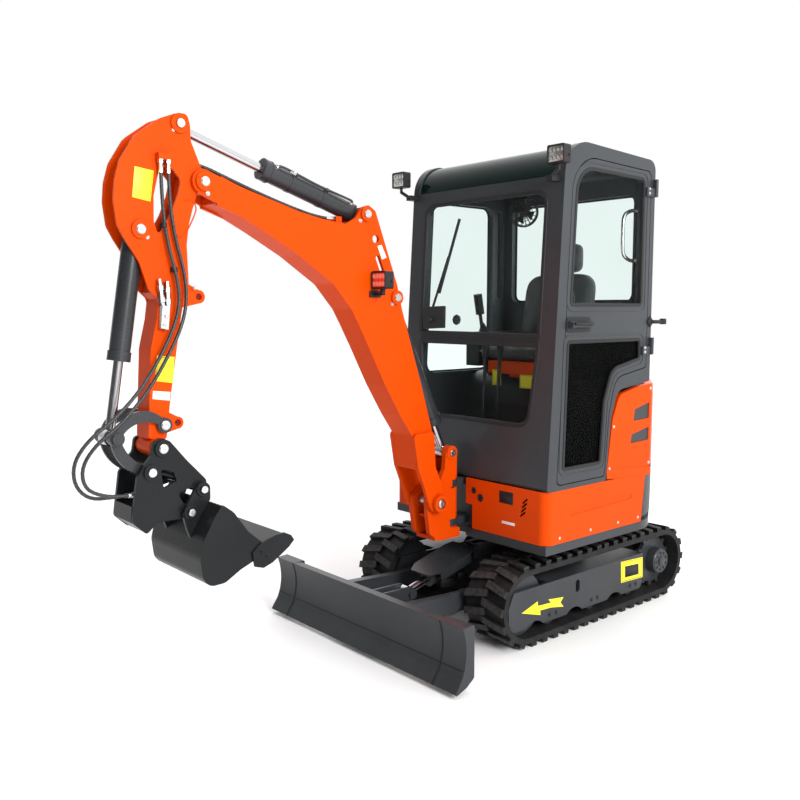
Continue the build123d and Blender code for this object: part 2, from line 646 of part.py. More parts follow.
def left_cowl():
    """Side cover in front of the hood, under the cab's stepped corner."""
    left = HOUSE_Y + HOUSE_HALF
    rear = TAIL_SHOULDER + 4 + PANEL_GAP
    side = face_of([(rear, HOOD_LOW), (COWL_FRONT, HOOD_LOW + 6), (COWL_FRONT - 34, 1000), (52, 1112), (-109, 1145),
                    (rear, HOOD_TOP)], [0, 0, 60, 60, 40, 0])
    solid = across(side, left - 26, left)
    pocket = across(offset(side, amount=-14, kind=Kind.INTERSECTION), left - 40, left - 10)
    solid = solid - pocket
    for low, high, front in ((985, 1062, -62), (880, 944, -42)):
        vent = face_of([(rear + 16, low), (front, low - 4), (front - 10, high - 26), (rear + 16, high)], 6)
        solid = solid - across(vent, left - 60, left + 10)
    for x in (-150, 40):
        solid = solid + block(x, x + 40, left - PANEL, left - 1, SKIRT_TOP + SEAT_FIT, HOOD_LOW + 12)
    return solid


def cowl_grilles():
    left = HOUSE_Y + HOUSE_HALF
    rear = TAIL_SHOULDER + 4 + PANEL_GAP
    solids = []
    for low, high, front in ((985, 1062, -62), (880, 944, -42)):
        vent = face_of([(rear + 16, low), (front, low - 4), (front - 10, high - 26), (rear + 16, high)], 6)
        mesh = across(offset(vent, amount=-SEAT_FIT, kind=Kind.INTERSECTION), left - 9, left - 4)
        solids.append(mesh)
    return solids


def engine_block():
    return block(-560, -100, -140, 220, DECK_TOP + SEAT_FIT, 1010)


# Cab
def cab_points(inset=0):
    """Side outline of the cab: floor, leaning front, round front top, roof, rear and stepped corner."""
    return [(CAB_FRONT_LOW - inset, CAB_LOW + inset), (CAB_FRONT_HIGH - inset, CAB_ROOF_FRONT - inset),
            (CAB_REAR + inset, CAB_ROOF_REAR - inset),
            (CAB_REAR + inset, HOOD_TOP + 14 + inset), (70 + inset, HOOD_TOP - 16 + inset),
            (COWL_FRONT - 22 + inset, 1010 + inset / 2), (COWL_FRONT + 8 + inset, CAB_LOW + inset)]


def cab_face(inset=0):
    front = 150 - inset / 2
    return face_of(cab_points(inset), [20, front, 50 - inset / 2, 10, 70 + inset / 2, 40, 10])


def door_points(inset=0):
    lean = (CAB_FRONT_LOW - CAB_FRONT_HIGH) / (CAB_ROOF_FRONT - CAB_LOW)
    low, high = 748 + inset, 2150 - inset
    front_low = CAB_FRONT_LOW - 66 - inset
    front_high = front_low - lean * (high - low)
    return [(front_low, low), (front_high, high), (DOOR_REAR + inset, high - 18), (DOOR_REAR + inset, 1232 + inset),
            (90 + inset, 1195 + inset), (COWL_FRONT - 2 + inset, 1030 + inset), (COWL_FRONT + 22 + inset, low)]


def door_face(inset=0):
    return face_of(door_points(inset), [26, 150 - inset / 2, 30, 16, 90 + inset / 2, 50, 20])


def front_window(low, high, inset=0):
    """Front window outline, drawn across the machine and up along the leaning front."""
    narrow = 0 if high > 1500 else 1
    right = CAB_RIGHT + 92 + inset
    left = CAB_LEFT - 92 - inset
    return face_of([(right + narrow * 30, low), (left - narrow * 30, low), (left, high), (right, high)],
                   [60 if narrow else 8, 60 if narrow else 8, 8 if narrow else 50, 8 if narrow else 50])


def lean_x(z):
    return CAB_FRONT_LOW - (CAB_FRONT_LOW - CAB_FRONT_HIGH) * (z - CAB_LOW) / (CAB_ROOF_FRONT - CAB_LOW)


def front_plane():
    """Plane on the cab's leaning front, with local X to the left and local Y up the slope."""
    run = Vector(CAB_FRONT_HIGH - CAB_FRONT_LOW, 0, CAB_ROOF_FRONT - CAB_LOW).normalized()
    return Plane(origin=(CAB_FRONT_LOW, 0, CAB_LOW), x_dir=(0, 1, 0), z_dir=Vector(0, 1, 0).cross(run))


FRONT_SLOPE = hypot(CAB_FRONT_LOW - CAB_FRONT_HIGH, CAB_ROOF_FRONT - CAB_LOW) / (CAB_ROOF_FRONT - CAB_LOW)
UPPER_PANE = (BELT_LOW + 26, 2002.0)
LOWER_PANE = (996.0, BELT_LOW - 14)


def slope_window(levels, inset, depth_low, depth_high):
    low, high = [(z - CAB_LOW) * FRONT_SLOPE for z in levels]
    right, left = CAB_RIGHT + 100 + inset, CAB_LEFT - 92 - inset
    step = 34 if levels[1] < 1500 else 0
    radii = [64, 64, 10, 10] if step else [10, 10, 54, 54]
    face = face_of([(right + step, low + inset), (left - step, low + inset), (left, high - inset),
                    (right, high - inset)], radii)
    plane = front_plane()
    return extrude(plane.offset(depth_low) * face, amount=depth_high - depth_low)


def visor_region(gap=0):
    return block(250 - gap, 600, CAB_RIGHT + VISOR_INSET - gap, CAB_LEFT - VISOR_INSET + gap, 2064 - gap, 2300)


def cab_frame():
    outer = across(cab_face(), CAB_RIGHT, CAB_LEFT)
    inner = across(cab_face(CAB_WALL), CAB_RIGHT + CAB_WALL, CAB_LEFT - CAB_WALL)
    solid = outer - inner
    opening = across(door_face(-DOOR_GAP), CAB_LEFT - 80, CAB_LEFT + 10)
    solid = solid - opening
    for levels in (UPPER_PANE, LOWER_PANE):
        solid = solid - slope_window(levels, 0, -80, 60)
    solid = solid - visor_region(SEAT_FIT)
    right_front = face_of([(420, 1180), (372, 2040), (-60, 2040), (-60, 1180)], 50)
    right_rear = face_of([(-100, 1560), (-100, 2030), (CAB_REAR + 44, 2024), (CAB_REAR + 44, 1560)], 14)
    for window in (right_front, right_rear):
        solid = solid - across(window, CAB_RIGHT - 10, CAB_RIGHT + 80)
    rear = Plane(origin=(CAB_REAR - 10, HOUSE_Y + 75, 0), x_dir=(0, 1, 0), z_dir=(1, 0, 0))
    window = Pos(0, 1790) * RectangleRounded(760, 500, 40)
    solid = solid - extrude(rear * window, amount=80)
    x, y = DOOR_HINGE
    for low, high in DOOR_KNUCKLES:
        middle = (low + high) / 2
        solid = solid + post(x, y, 9, middle + SEAT_FIT, high) + block(x - 9, x + 9, CAB_LEFT - 4, y, middle + 1, high)
    hood_x, hood_z = HOOD_HINGE
    for y in HOOD_HINGE_Y:
        solid = solid + pin(HOOD_HINGE, 8, y + 30 + SEAT_FIT, y + 61)
        solid = solid + block(hood_x, CAB_REAR + 10, y + 31, y + 61, hood_z - 4, hood_z + 8)
    return solid


def roof_visor():
    outer = across(cab_face(6), CAB_RIGHT, CAB_LEFT)
    inner = across(cab_face(18), CAB_RIGHT - 1, CAB_LEFT + 1)
    return (outer - inner) & visor_region()


def windscreen():
    return [slope_window(levels, SEAT_FIT, -16, -16 + GLASS) for levels in (UPPER_PANE, LOWER_PANE)]


def cab_glass():
    right_front = face_of([(420, 1180), (372, 2040), (-60, 2040), (-60, 1180)], 50)
    right_rear = face_of([(-100, 1560), (-100, 2030), (CAB_REAR + 44, 2024), (CAB_REAR + 44, 1560)], 14)
    solids = [across(offset(w, amount=-SEAT_FIT, kind=Kind.INTERSECTION), CAB_RIGHT + 12, CAB_RIGHT + 12 + GLASS)
              for w in (right_front, right_rear)]
    rear = Plane(origin=(CAB_REAR + 12, HOUSE_Y + 75, 0), x_dir=(0, 1, 0), z_dir=(1, 0, 0))
    window = Pos(0, 1790) * RectangleRounded(760 - 2 * SEAT_FIT, 500 - 2 * SEAT_FIT, 40)
    return solids + [extrude(rear * window, amount=GLASS)]


def door_window_faces(inset=0):
    upper = face_of([(424 - inset, BELT_HIGH + inset), (392 - inset, 2104 - inset), (-100 + inset, 2096 - inset),
                     (-100 + inset, BELT_HIGH + inset)], [16, 110, 20, 16])
    lower = face_of([(456 - inset, 812 + inset), (438 - inset, BELT_LOW - inset), (-98 + inset, BELT_LOW - inset),
                     (-98 + inset, 1272 + inset), (112 + inset, 1232 + inset), (168 + inset, 1090 + inset),
                     (188 + inset, 812 + inset)], [16, 16, 14, 12, 80, 60, 16])
    return upper, lower


def door():
    solid = across(door_face(), CAB_LEFT - CAB_WALL, CAB_LEFT)
    for window in door_window_faces():
        solid = solid - across(window, CAB_LEFT - 60, CAB_LEFT + 10)
    x, y = DOOR_HINGE
    for low, high in DOOR_KNUCKLES:
        middle = (low + high) / 2
        solid = solid + post(x, y, 9, low, middle)
        solid = solid + block(x - 6, DOOR_REAR + 44, CAB_LEFT + 2, y - 2, low, middle - 1)
        solid = solid + block(DOOR_REAR + 6, DOOR_REAR + 44, CAB_LEFT - 4, y - 2, low, middle - 1)
    handle = block(300, 440, CAB_LEFT + 14, CAB_LEFT + 28, 1426, 1448)
    handle = handle + block(300, 322, CAB_LEFT - 2, CAB_LEFT + 16, 1426, 1448)
    handle = handle + block(404, 440, CAB_LEFT - 2, CAB_LEFT + 16, 1422, 1452)
    return solid + handle


def door_glass():
    return [across(window, CAB_LEFT - 20, CAB_LEFT - 20 + GLASS) for window in door_window_faces(SEAT_FIT)]


SEAT_Y = HOUSE_Y + 75
SEAT_BASE = HOOD_TOP + 60


def in_cab(solid):
    """The part of a solid that lies inside the cab's walls, seated on its floor."""
    room = across(cab_face(CAB_WALL + SEAT_FIT), CAB_RIGHT + CAB_WALL + SEAT_FIT, CAB_LEFT - CAB_WALL - SEAT_FIT)
    return solid & room


def seat_parts():
    """Cushion, backrest and headrest."""
    base = SEAT_BASE
    cushion = block(-60, 300, SEAT_Y - 225, SEAT_Y + 225, base + 42, base + 132)
    cushion = fillet(cushion.edges().filter_by(Axis.Y), 32)
    foot = base + 132 + SEAT_FIT
    back_side = face_of([(-10, foot), (-90, foot), (-138, base + 200), (-143, base + 470), (-60, base + 470)],
                        [20, 0, 30, 24, 24])
    back = across(back_side, SEAT_Y - 215, SEAT_Y + 215)
    head_low = base + 470 + SEAT_FIT
    head_side = face_of([(-143, head_low), (-143, base + 620), (-80, base + 620), (-70, head_low)], [0, 24, 24, 20])
    return [cushion, back, across(head_side, SEAT_Y - 120, SEAT_Y + 120)]


def seat_stand():
    return in_cab(block(-80, 250, SEAT_Y - 170, SEAT_Y + 170, HOOD_TOP - 40, SEAT_BASE + 42 - SEAT_FIT)
                  - block(90, 251, SEAT_Y - 171, SEAT_Y + 171, HOOD_TOP - 41, HOOD_TOP + 40))


def consoles():
    """Side consoles with their levers, one each side of the seat."""
    solids = []
    base = SEAT_BASE - 12
    for y in (SEAT_Y - 290, SEAT_Y + 290):
        body = block(-60, 240, y - 44, y + 44, base - 30, base + 190)
        body = body - block(90, 241, y - 45, y + 45, base - 31, base + 20)
        body = chamfer(body.faces().sort_by(Axis.X)[-1].edges().filter_by(Axis.Y).sort_by(Axis.Z)[-1:], 60)
        stick = bar((160, y, base + 150), (190, y, base + 300), 9)
        grip = bar((186, y, base + 280), (206, y, base + 380), 22)
        solids.append(in_cab(fused(body, stick, grip)))
    return solids


def travel_levers():
    floor = CAB_LOW + CAB_WALL + SEAT_FIT
    y = HOUSE_Y + 75
    base = block(380, 470, y - 120, y + 120, floor, floor + 40)
    for offset_y in (-45, 45):
        base = base + bar((430, y + offset_y, floor + 20), (400, y + offset_y, floor + 560), 9)
        base = base + bar((403, y + offset_y, floor + 520), (396, y + offset_y, floor + 640), 17)
        base = base + block(360, 430, y + offset_y * 2 - 30, y + offset_y * 2 + 30, floor + 6, floor + 30)
    return base


def work_lamp(x, y, z):
    """Square lamp in its bail, on a foot that stands on the cab's front corner."""
    body = block(x - 22, x + 22, y - 45, y + 45, z - 38, z + 38)
    body = fillet(body.edges().filter_by(Axis.X), 8)
    for step in range(-3, 4):
        body = body - block(x - 23, x - 12, y + step * 12 - 3, y + step * 12 + 3, z - 30, z + 30)
    body = body - block(x + 19, x + 30, y - 38, y + 38, z - 31, z + 31)
    return body


def work_lamps():
    solids = []
    for y, foot_y in ((600, 560), (-385, -320)):
        x, z = 524, 2138
        lamp = work_lamp(x, y, z)
        stem = bar((x, y, z - 36), (x, y, z - 62), 7)
        arm = bar((x, y, z - 58), (x, foot_y, z - 92), 8)
        pad_x = lean_x(z - 104) + SEAT_FIT
        foot = block(pad_x, x + 10, foot_y - 16, foot_y + 16, z - 104, z - 80)
        solids.append(fused(lamp, stem, arm, foot))
    return solids


def wiper():
    plane = front_plane()
    lift = -16 + GLASS + SEAT_FIT
    motor_y, motor_z = -190, (1440 - CAB_LOW) * FRONT_SLOPE
    mid_y, mid_z = -70, (1750 - CAB_LOW) * FRONT_SLOPE
    arm_low = plane.from_local_coords(Vector(motor_y, motor_z, lift + 12))
    arm_high = plane.from_local_coords(Vector(mid_y, mid_z, lift + 12))
    motor = extrude(plane.offset(lift) * Pos(motor_y, motor_z) * Circle(17), amount=24)
    arm = bar(tuple(arm_low), tuple(arm_high), 6)
    blade_low = plane.from_local_coords(Vector(-126, (1580 - CAB_LOW) * FRONT_SLOPE, lift + 8))
    blade_high = plane.from_local_coords(Vector(-12, (1925 - CAB_LOW) * FRONT_SLOPE, lift + 8))
    return fused(motor, arm, bar(tuple(blade_low), tuple(blade_high), 7))


# Swing post
def swing_post():
    """C-shaped post on two kingpin seats, with lugs for the boom's foot and the boom cylinder."""
    fx, fz = FOOT_PIN
    rx, rz = BOOM_CYL_ROD
    side = face_of([(rx - 34, rz), (rx, rz + 34), (rx + 36, rz + 4), (700, 776), (742, 700), (fx + 44, fz + 20),
                    (fx + 46, fz - 40), (fx + 30, 486), (730, 448), (600, 448), (600, 492), (662, 498), (668, 545),
                    (668, 680), (650, 690), (650, 728), (622, 735)], [26, 26, 20, 30, 30, 20, 30, 20, 10, 8, 8, 10, 10, 10, 6, 6, 10])
    cheeks = both_sides(BRACKET_HALF - BRACKET_PLATE, BRACKET_HALF, lambda low, high: across(side, low, high))
    half = BRACKET_HALF
    y_low, y_high = HOUSE_Y - half, HOUSE_Y + half
    hub_low, hub_high = KNUCKLE_LOW[1] + KNUCKLE_PLAY, KNUCKLE_HIGH[0] - KNUCKLE_PLAY
    solid = fused(cheeks[0], cheeks[1])
    hub = post(SWING_X, HOUSE_Y, 50, hub_low, hub_high)
    crown = post(SWING_X, HOUSE_Y, 50, KNUCKLE_HIGH[1] + KNUCKLE_PLAY, KNUCKLE_HIGH[1] + 36)
    sole = post(SWING_X, HOUSE_Y, 50, 452, KNUCKLE_LOW[0] - KNUCKLE_PLAY)
    web = block(SWING_X, 690, y_low, y_high, hub_low, hub_high)
    crown_web = block(SWING_X, 690, y_low, y_high, KNUCKLE_HIGH[1] + KNUCKLE_PLAY, KNUCKLE_HIGH[1] + 30)
    sole_web = block(SWING_X, 760, y_low, y_high, 452, 470)
    rib = block(700, 712, y_low, y_high, 452, 580)
    shelf = block(690, 770, y_low, y_high, 556, 568)
    kingpin = post(SWING_X, HOUSE_Y, KINGPIN_RADIUS, 446, KNUCKLE_HIGH[1] + 42)
    solid = fused(solid, hub, crown, sole, web, crown_web, sole_web, rib, shelf)
    for low, high in (KNUCKLE_LOW, KNUCKLE_HIGH):
        sweep = KNUCKLE_RADIUS + 6
        solid = solid - post(SWING_X, HOUSE_Y, sweep, low - KNUCKLE_PLAY, high + KNUCKLE_PLAY)
        solid = solid - block(SWING_X - 80, SWING_X, y_low - 60, y_high + 60, low - KNUCKLE_PLAY, high + KNUCKLE_PLAY)
    solid = solid + kingpin
    clear = EYE_RADIUS + 52
    eye_room = bar((rx, HOUSE_Y - EYE_HALF - SIDE_PLAY, rz), (rx, HOUSE_Y + EYE_HALF + SIDE_PLAY, rz), clear)
    solid = solid - eye_room
    for low, high in ((EYE_HALF + SIDE_PLAY, BRACKET_HALF + 4),):
        for boss in both_sides(low, high, lambda a, b: pin(BOOM_CYL_ROD, 32, a, b)):
            solid = solid + boss
        for cap in both_sides(high, high + 4, lambda a, b: pin(BOOM_CYL_ROD, PIN_RADIUS, a, b)):
            solid = solid + cap
    for boss in both_sides(30, BRACKET_HALF, lambda a, b: pin(FOOT_PIN, 42, a, b)):
        solid = solid + boss
    return solid - pin(FOOT_PIN, PIN_RADIUS + 5 + PIN_FIT, HOUSE_Y - 120, HOUSE_Y + 120)


# Boom
BOOM_UPPER = [(1830, 1974), (1741, 1946), (1479, 1875), (1376, 1856), (1262, 1843), (1211, 1870), (1175, 1917),
              (1143, 1927), (1106, 1905), (1053, 1770), (988, 1605), (960, 1499), (855, 1193), (783, 965)]
BOOM_LOWER = [(903, 950), (972, 1048), (1056, 1183), (1147, 1352), (1198, 1443), (1234, 1503), (1325, 1604),
              (1492, 1712), (1648, 1795), (1784, 1861), (1840, 1880)]


def boom():
    """Gooseneck boom box, forked at its foot and its tip and slotted along its back."""
    corners = BOOM_UPPER + [(812, 800), (880, 790)] + BOOM_LOWER
    radii = [0, 60, 200, 60, 30, 30, 18, 18, 18, 60, 40, 60, 60, 40, 20, 20, 40, 40, 60, 60, 30, 30, 60, 60, 60, 40, 0]
    side = face_of(corners, radii)
    y_low, y_high = HOUSE_Y - BOOM_HALF, HOUSE_Y + BOOM_HALF
    solid = across(side, y_low, y_high)
    floor = [(690, 930), (826, 930), (920, 1193), (1022, 1480), (1056, 1600), (1098, 1740), (1146, 1846),
             (1236, 1846), (1300, 2010), (900, 2010)]
    slot = across(face_of(floor), HOUSE_Y - BOOM_SLOT_HALF, HOUSE_Y + BOOM_SLOT_HALF)
    solid = solid - slot
    cheek_out = BOOM_HALF
    tip = face_of([(1820, 1976), (1741, 1946), (1690, 1890), (1740, 1840), (1838, 1872)])
    tip = tip + Pos(*ARM_PIVOT) * Circle(44) + face_of([(1760, 1950), (1880, 1994), (1912, 1912), (1780, 1858)])
    reach = BOOM_HALF - ARM_HALF - SIDE_PLAY
    for cheek in both_sides(BOOM_HALF - reach, cheek_out, lambda a, b: across(tip, a, b)):
        solid = solid + cheek
    solid = solid - pin(ARM_PIVOT, 68, HOUSE_Y - ARM_HALF - SIDE_PLAY, HOUSE_Y + ARM_HALF + SIDE_PLAY)
    for boss in both_sides(cheek_out - 1, cheek_out + 10, lambda a, b: pin(ARM_PIVOT, 34, a, b)):
        solid = solid + boss
    fx, fz = FOOT_PIN
    foot = face_of([(908, 958), (880, 800), (846, 720), (fx + 62, fz + 20), (fx + 40, fz - 34), (fx - 20, fz - 44),
                    (fx - 46, fz), (fx - 24, fz + 80), (776, 800), (786, 960)], [20, 60, 40, 20, 30, 30, 20, 40, 40, 20])
    for cheek in both_sides(BRACKET_HALF + SIDE_PLAY, BRACKET_HALF + SIDE_PLAY + FOOT_CHEEK, lambda a, b: across(foot, a, b)):
        solid = solid + cheek
    for boss in both_sides(BRACKET_HALF + SIDE_PLAY, FOOT_BOSS_HALF, lambda a, b: pin(FOOT_PIN, 40, a, b)):
        solid = solid + boss
    for place in (BOOM_CYL_BASE, ARM_CYL_BASE):
        for boss in both_sides(BOOM_SLOT_HALF, BOOM_HALF + 12, lambda a, b: pin(place, 30, a, b)):
            solid = solid + boss
        for boss in both_sides(EYE_HALF + SIDE_PLAY, BOOM_SLOT_HALF + 1, lambda a, b: pin(place, 26, a, b)):
            solid = solid + boss
    solid = solid + block(1262, 1290, HOUSE_Y - 40, HOUSE_Y + 40, 1830, 1874)
    solid = solid - pin((1105, 1792), 17, HOUSE_Y - 100, HOUSE_Y + 100)
    slot_hole = Pos(1084, 1690) * Rot(0, 0, 66) * SlotOverall(74, 22)
    solid = solid - across(slot_hole, HOUSE_Y - 100, HOUSE_Y + 100)
    solid = solid - pin(FOOT_PIN, PIN_RADIUS + 5 + SEAT_FIT, HOUSE_Y - 130, HOUSE_Y + 130)
    for place in (BOOM_CYL_BASE, ARM_CYL_BASE, ARM_PIVOT):
        solid = solid - pin(place, PIN_RADIUS + SEAT_FIT, HOUSE_Y - 100, HOUSE_Y + 100)
    return solid


def boom_pins():
    foot = pin(FOOT_PIN, PIN_RADIUS + 5, HOUSE_Y - FOOT_BOSS_HALF - 3, HOUSE_Y + FOOT_BOSS_HALF + 3)
    solids = [foot]
    for place, reach in ((BOOM_CYL_BASE, BOOM_HALF + 15), (ARM_CYL_BASE, BOOM_HALF + 15), (ARM_PIVOT, BOOM_HALF + 13)):
        solids.append(pin(place, PIN_RADIUS, HOUSE_Y - reach, HOUSE_Y + reach))
    return solids


def boom_lamp():
    x, z = 1112, 1622
    y = HOUSE_Y + BOOM_HALF + SEAT_FIT
    plate = block(x - 30, x + 30, y, y + 6, z - 70, z - 44)
    lamp = block(x - 22, x + 22, y + 6, y + 96, z - 36, z + 36)
    lamp = fillet(lamp.edges().filter_by(Axis.X), 8)
    lamp = lamp - block(x + 19, x + 30, y + 13, y + 89, z - 29, z + 29)
    arm = block(x - 8, x + 8, y, y + 60, z - 62, z - 52) + block(x - 8, x + 8, y + 44, y + 60, z - 62, z - 34)
    return fused(plate, arm, lamp)


# Arm
ARM_OUTLINE = [(1983, 2174), (1938, 2180), (1928, 2141), (1926, 2087), (1886, 1993), (1942, 1798), (1952, 1729),
               (1948, 1590), (1969, 1537), (1983, 1467), (2001, 1362), (2030, 1188), (2049, 1048), (2116, 1055),
               (2108, 1193), (2098, 1366), (2073, 1468), (2063, 1537), (2099, 1570), (2131, 1664), (2181, 1741),
               (2204, 1783), (2214, 1863), (2208, 1928), (2189, 1994), (2134, 2082), (2043, 2149)]


def arm():
    """Arm: a box below, opening into twin crescent plates above that hold three pins."""
    radii = [24, 20, 10, 20, 20, 60, 40, 40, 30, 40, 40, 40, 10, 10, 40, 60, 60, 30, 40, 60, 30, 30, 60, 60, 60, 80, 60]
    side = face_of(ARM_OUTLINE, radii)
    side = side + Pos(*ARM_PIVOT) * Circle(42) + Pos(*HITCH_PIVOT) * Circle(34)
    window = face_of([(2049, 1976), (2011, 1999), (1968, 1952), (1981, 1900), (2009, 1833), (2057, 1752),
                      (2073, 1803), (2071, 1889)], [30, 26, 26, 30, 60, 10, 30, 60])
    side = side - window
    inner_gap = ARM_HALF - ARM_PLATE
    solid = fused(*both_sides(inner_gap, ARM_HALF, lambda a, b: across(side, a, b)))
    core = face_of([(1948, 1590), (1969, 1537), (1983, 1467), (2001, 1362), (2030, 1188), (2049, 1048), (2116, 1055),
                    (2108, 1193), (2098, 1366), (2073, 1468), (2063, 1537), (2085, 1560), (2060, 1660), (2010, 1752),
                    (1976, 1840), (1950, 1960), (1900, 1990), (1888, 1951), (1942, 1798), (1952, 1729)])
    core = core + Pos(*ARM_PIVOT) * Circle(42) + Pos(*HITCH_PIVOT) * Circle(34)
    solid = solid + across(core, HOUSE_Y - inner_gap - 1, HOUSE_Y + inner_gap + 1)
    for place, radius in ((THUMB_PIN_HIGH, 24), (THUMB_PIN_LOW, 22)):
        boss = Pos(*place) * Circle(radius)
        px, pz = place
        stem = face_of([(px, pz + radius), (px + 74, pz + 62), (px + 74, pz - 40), (px, pz - radius)])
        solid = solid + across((boss + stem) & _arm_room(place), HOUSE_Y - 30, HOUSE_Y + 30)
        solid = solid - pin(place, THUMB_BORE, HOUSE_Y - 80, HOUSE_Y + 80)
    for place, radius, reach in ((ARM_CYL_ROD, 34, ARM_HALF + 8), (BUCKET_CYL_BASE, 32, ARM_HALF + 8),
                                 (LINK_PIVOT, 28, ARM_HALF + 4), (HITCH_PIVOT, 32, HITCH_HALF - HITCH_PLATE - SIDE_PLAY)):
        start = EYE_HALF + SIDE_PLAY if place in (ARM_CYL_ROD, BUCKET_CYL_BASE) else inner_gap
        for boss in both_sides(start, reach, lambda a, b: pin(place, radius, a, b)):
            solid = solid + boss
    for cap in both_sides(ARM_HALF + 8, ARM_HALF + 11, lambda a, b: pin(ARM_CYL_ROD, PIN_RADIUS, a, b)):
        solid = solid + cap
    solid = solid + block(2011, 2061, 24, 131, 2010, 2032)
    for place in (ARM_PIVOT, BUCKET_CYL_BASE, LINK_PIVOT, HITCH_PIVOT):
        fit = PIN_FIT if place == ARM_PIVOT else SEAT_FIT
        solid = solid - pin(place, PIN_RADIUS + fit, HOUSE_Y - 120, HOUSE_Y + 120)
    return solid


def _arm_room(place):
    return Pos(place[0] + 40, place[1]) * Rectangle(140, 160)


def arm_pins():
    solids = []
    for place, reach in ((BUCKET_CYL_BASE, ARM_HALF + 11), (LINK_PIVOT, ARM_HALF + 4 + SIDE_PLAY + LINK_PLATE + 6),
                         (HITCH_PIVOT, HITCH_HALF + 14)):
        solids.append(pin(place, PIN_RADIUS, HOUSE_Y - reach, HOUSE_Y + reach))
    return solids


# Bucket linkage
def curved_link(start, end, bulge, width, boss):
    """Flat link between two pins, bowed to one side, with round ends."""
    ux, uz, length = heading(start, end)
    nx, nz = -uz, ux
    half = width / 2
    middle = ((start[0] + end[0]) / 2 + nx * bulge, (start[1] + end[1]) / 2 + nz * bulge)
    shift = lambda p, d: (p[0] + nx * d, p[1] + nz * d)
    top = ThreePointArc(shift(start, half), shift(middle, half), shift(end, half))
    low = ThreePointArc(shift(end, -half), shift(middle, -half), shift(start, -half))
    ends = [Line(shift(end, half), shift(end, -half)), Line(shift(start, -half), shift(start, half))]
    return make_face(Curve() + [top, ends[0], low, ends[1]]) + Pos(*start) * Circle(boss) + Pos(*end) * Circle(boss)


LINK_INNER = ARM_HALF + 4 + SIDE_PLAY


def guide_links():
    """Two bowed links from the arm's foot to the bucket cylinder's rod."""
    face = curved_link(LINK_PIVOT, LINK_JOINT, 52, 40, 27) - Pos(*LINK_PIVOT) * Circle(PIN_RADIUS + PIN_FIT)
    solids = both_sides(LINK_INNER, LINK_INNER + LINK_PLATE, lambda a, b: across(face, a, b))
    outer = LINK_INNER + LINK_PLATE
    caps = both_sides(outer, outer + 10, lambda a, b: pin(LINK_JOINT, PIN_RADIUS + 3, a, b))
    return [solids[0] + caps[0], solids[1] + caps[1]]


def push_link():
    """Bowed twin link from the rod's eye down to the hitch, tied by its lower boss."""
    face = curved_link(LINK_JOINT, HITCH_LINK, 26, 40, 26)
    outer = LINK_INNER - SIDE_PLAY
    solid = fused(*both_sides(outer - LINK_PLATE, outer, lambda a, b: across(face, a, b)))
    for boss in both_sides(EYE_HALF + SIDE_PLAY, outer - LINK_PLATE + 1, lambda a, b: pin(LINK_JOINT, 24, a, b)):
        solid = solid + boss
    reach = HITCH_HALF - HITCH_PLATE - SIDE_PLAY
    solid = solid + pin(HITCH_LINK, 26, HOUSE_Y - reach, HOUSE_Y + reach)
    return solid - pin(HITCH_LINK, PIN_RADIUS + PIN_FIT, HOUSE_Y - 100, HOUSE_Y + 100)


def quick_hitch():
    """Two hitch plates tied by a nose, a cross tube and the jaw that holds the bucket's pins."""
    tx, tz = HITCH_PIVOT
    kx, kz = HITCH_LINK
    bx, bz = BUCKET_PIN_HIGH
    lx, lz = BUCKET_PIN_LOW
    side = face_of([(tx, tz + 38), (tx - 30, tz + 22), (1990, 970), (bx - 24, bz + 30), (bx - 26, bz - 12), (bx + 6, bz - 24),
                    (1976, 870), (2030, 858), (lx + 16, lz + 30), (lx - 22, lz + 14), (lx - 14, lz - 22), (lx + 24, lz - 24),
                    (2106, 764), (2148, 728), (2199, 775), (2177, 930), (kx + 22, kz + 30), (2124, 1000), (tx + 34, tz + 26)],
                   [26, 24, 20, 18, 12, 10, 12, 14, 8, 10, 10, 10, 16, 10, 20, 20, 16, 20, 20])
    side = side - face_of([(2043, 936), (2090, 951), (2081, 880), (2030, 900)], 8)
    inner = HITCH_HALF - HITCH_PLATE
    solid = fused(*both_sides(inner, HITCH_HALF, lambda a, b: across(side, a, b)))
    y_low, y_high = HOUSE_Y - inner - 1, HOUSE_Y + inner + 1
    nose = face_of([(2146, 730), (2199, 775), (2194, 830), (2180, 826), (2183, 784), (2144, 748)])
    solid = solid + across(nose, y_low, y_high)
    solid = solid + pin((2076, 812), 20, y_low, y_high) + pin((2010, 905), 16, y_low, y_high)
    for place, radius, reach in ((HITCH_PIVOT, 30, HITCH_HALF + 10), (HITCH_LINK, 28, HITCH_HALF + 10)):
        for boss in both_sides(inner, reach, lambda a, b: pin(place, radius, a, b)):
            solid = solid + boss
    solid = solid + block(2112, 2156, 60, HOUSE_Y + inner + 1, 845, 885)
    solid = solid - pin(HITCH_PIVOT, PIN_RADIUS + PIN_FIT, HOUSE_Y - 120, HOUSE_Y + 120)
    for place in (BUCKET_PIN_HIGH, BUCKET_PIN_LOW):
        solid = solid - pin(place, PIN_RADIUS - 2 + PIN_FIT, HOUSE_Y - 120, HOUSE_Y + 120)
    return solid + pin(HITCH_LINK, PIN_RADIUS, HOUSE_Y - HITCH_HALF - 13, HOUSE_Y + HITCH_HALF + 13)


# Bucket
BUCKET_SIDE = [(1915, 817), (1872, 785), (1812, 702), (1750, 649), (1755, 605), (1849, 568), (1911, 533), (1971, 531),
               (1997, 562), (2006, 636), (1989, 704), (1948, 775)]


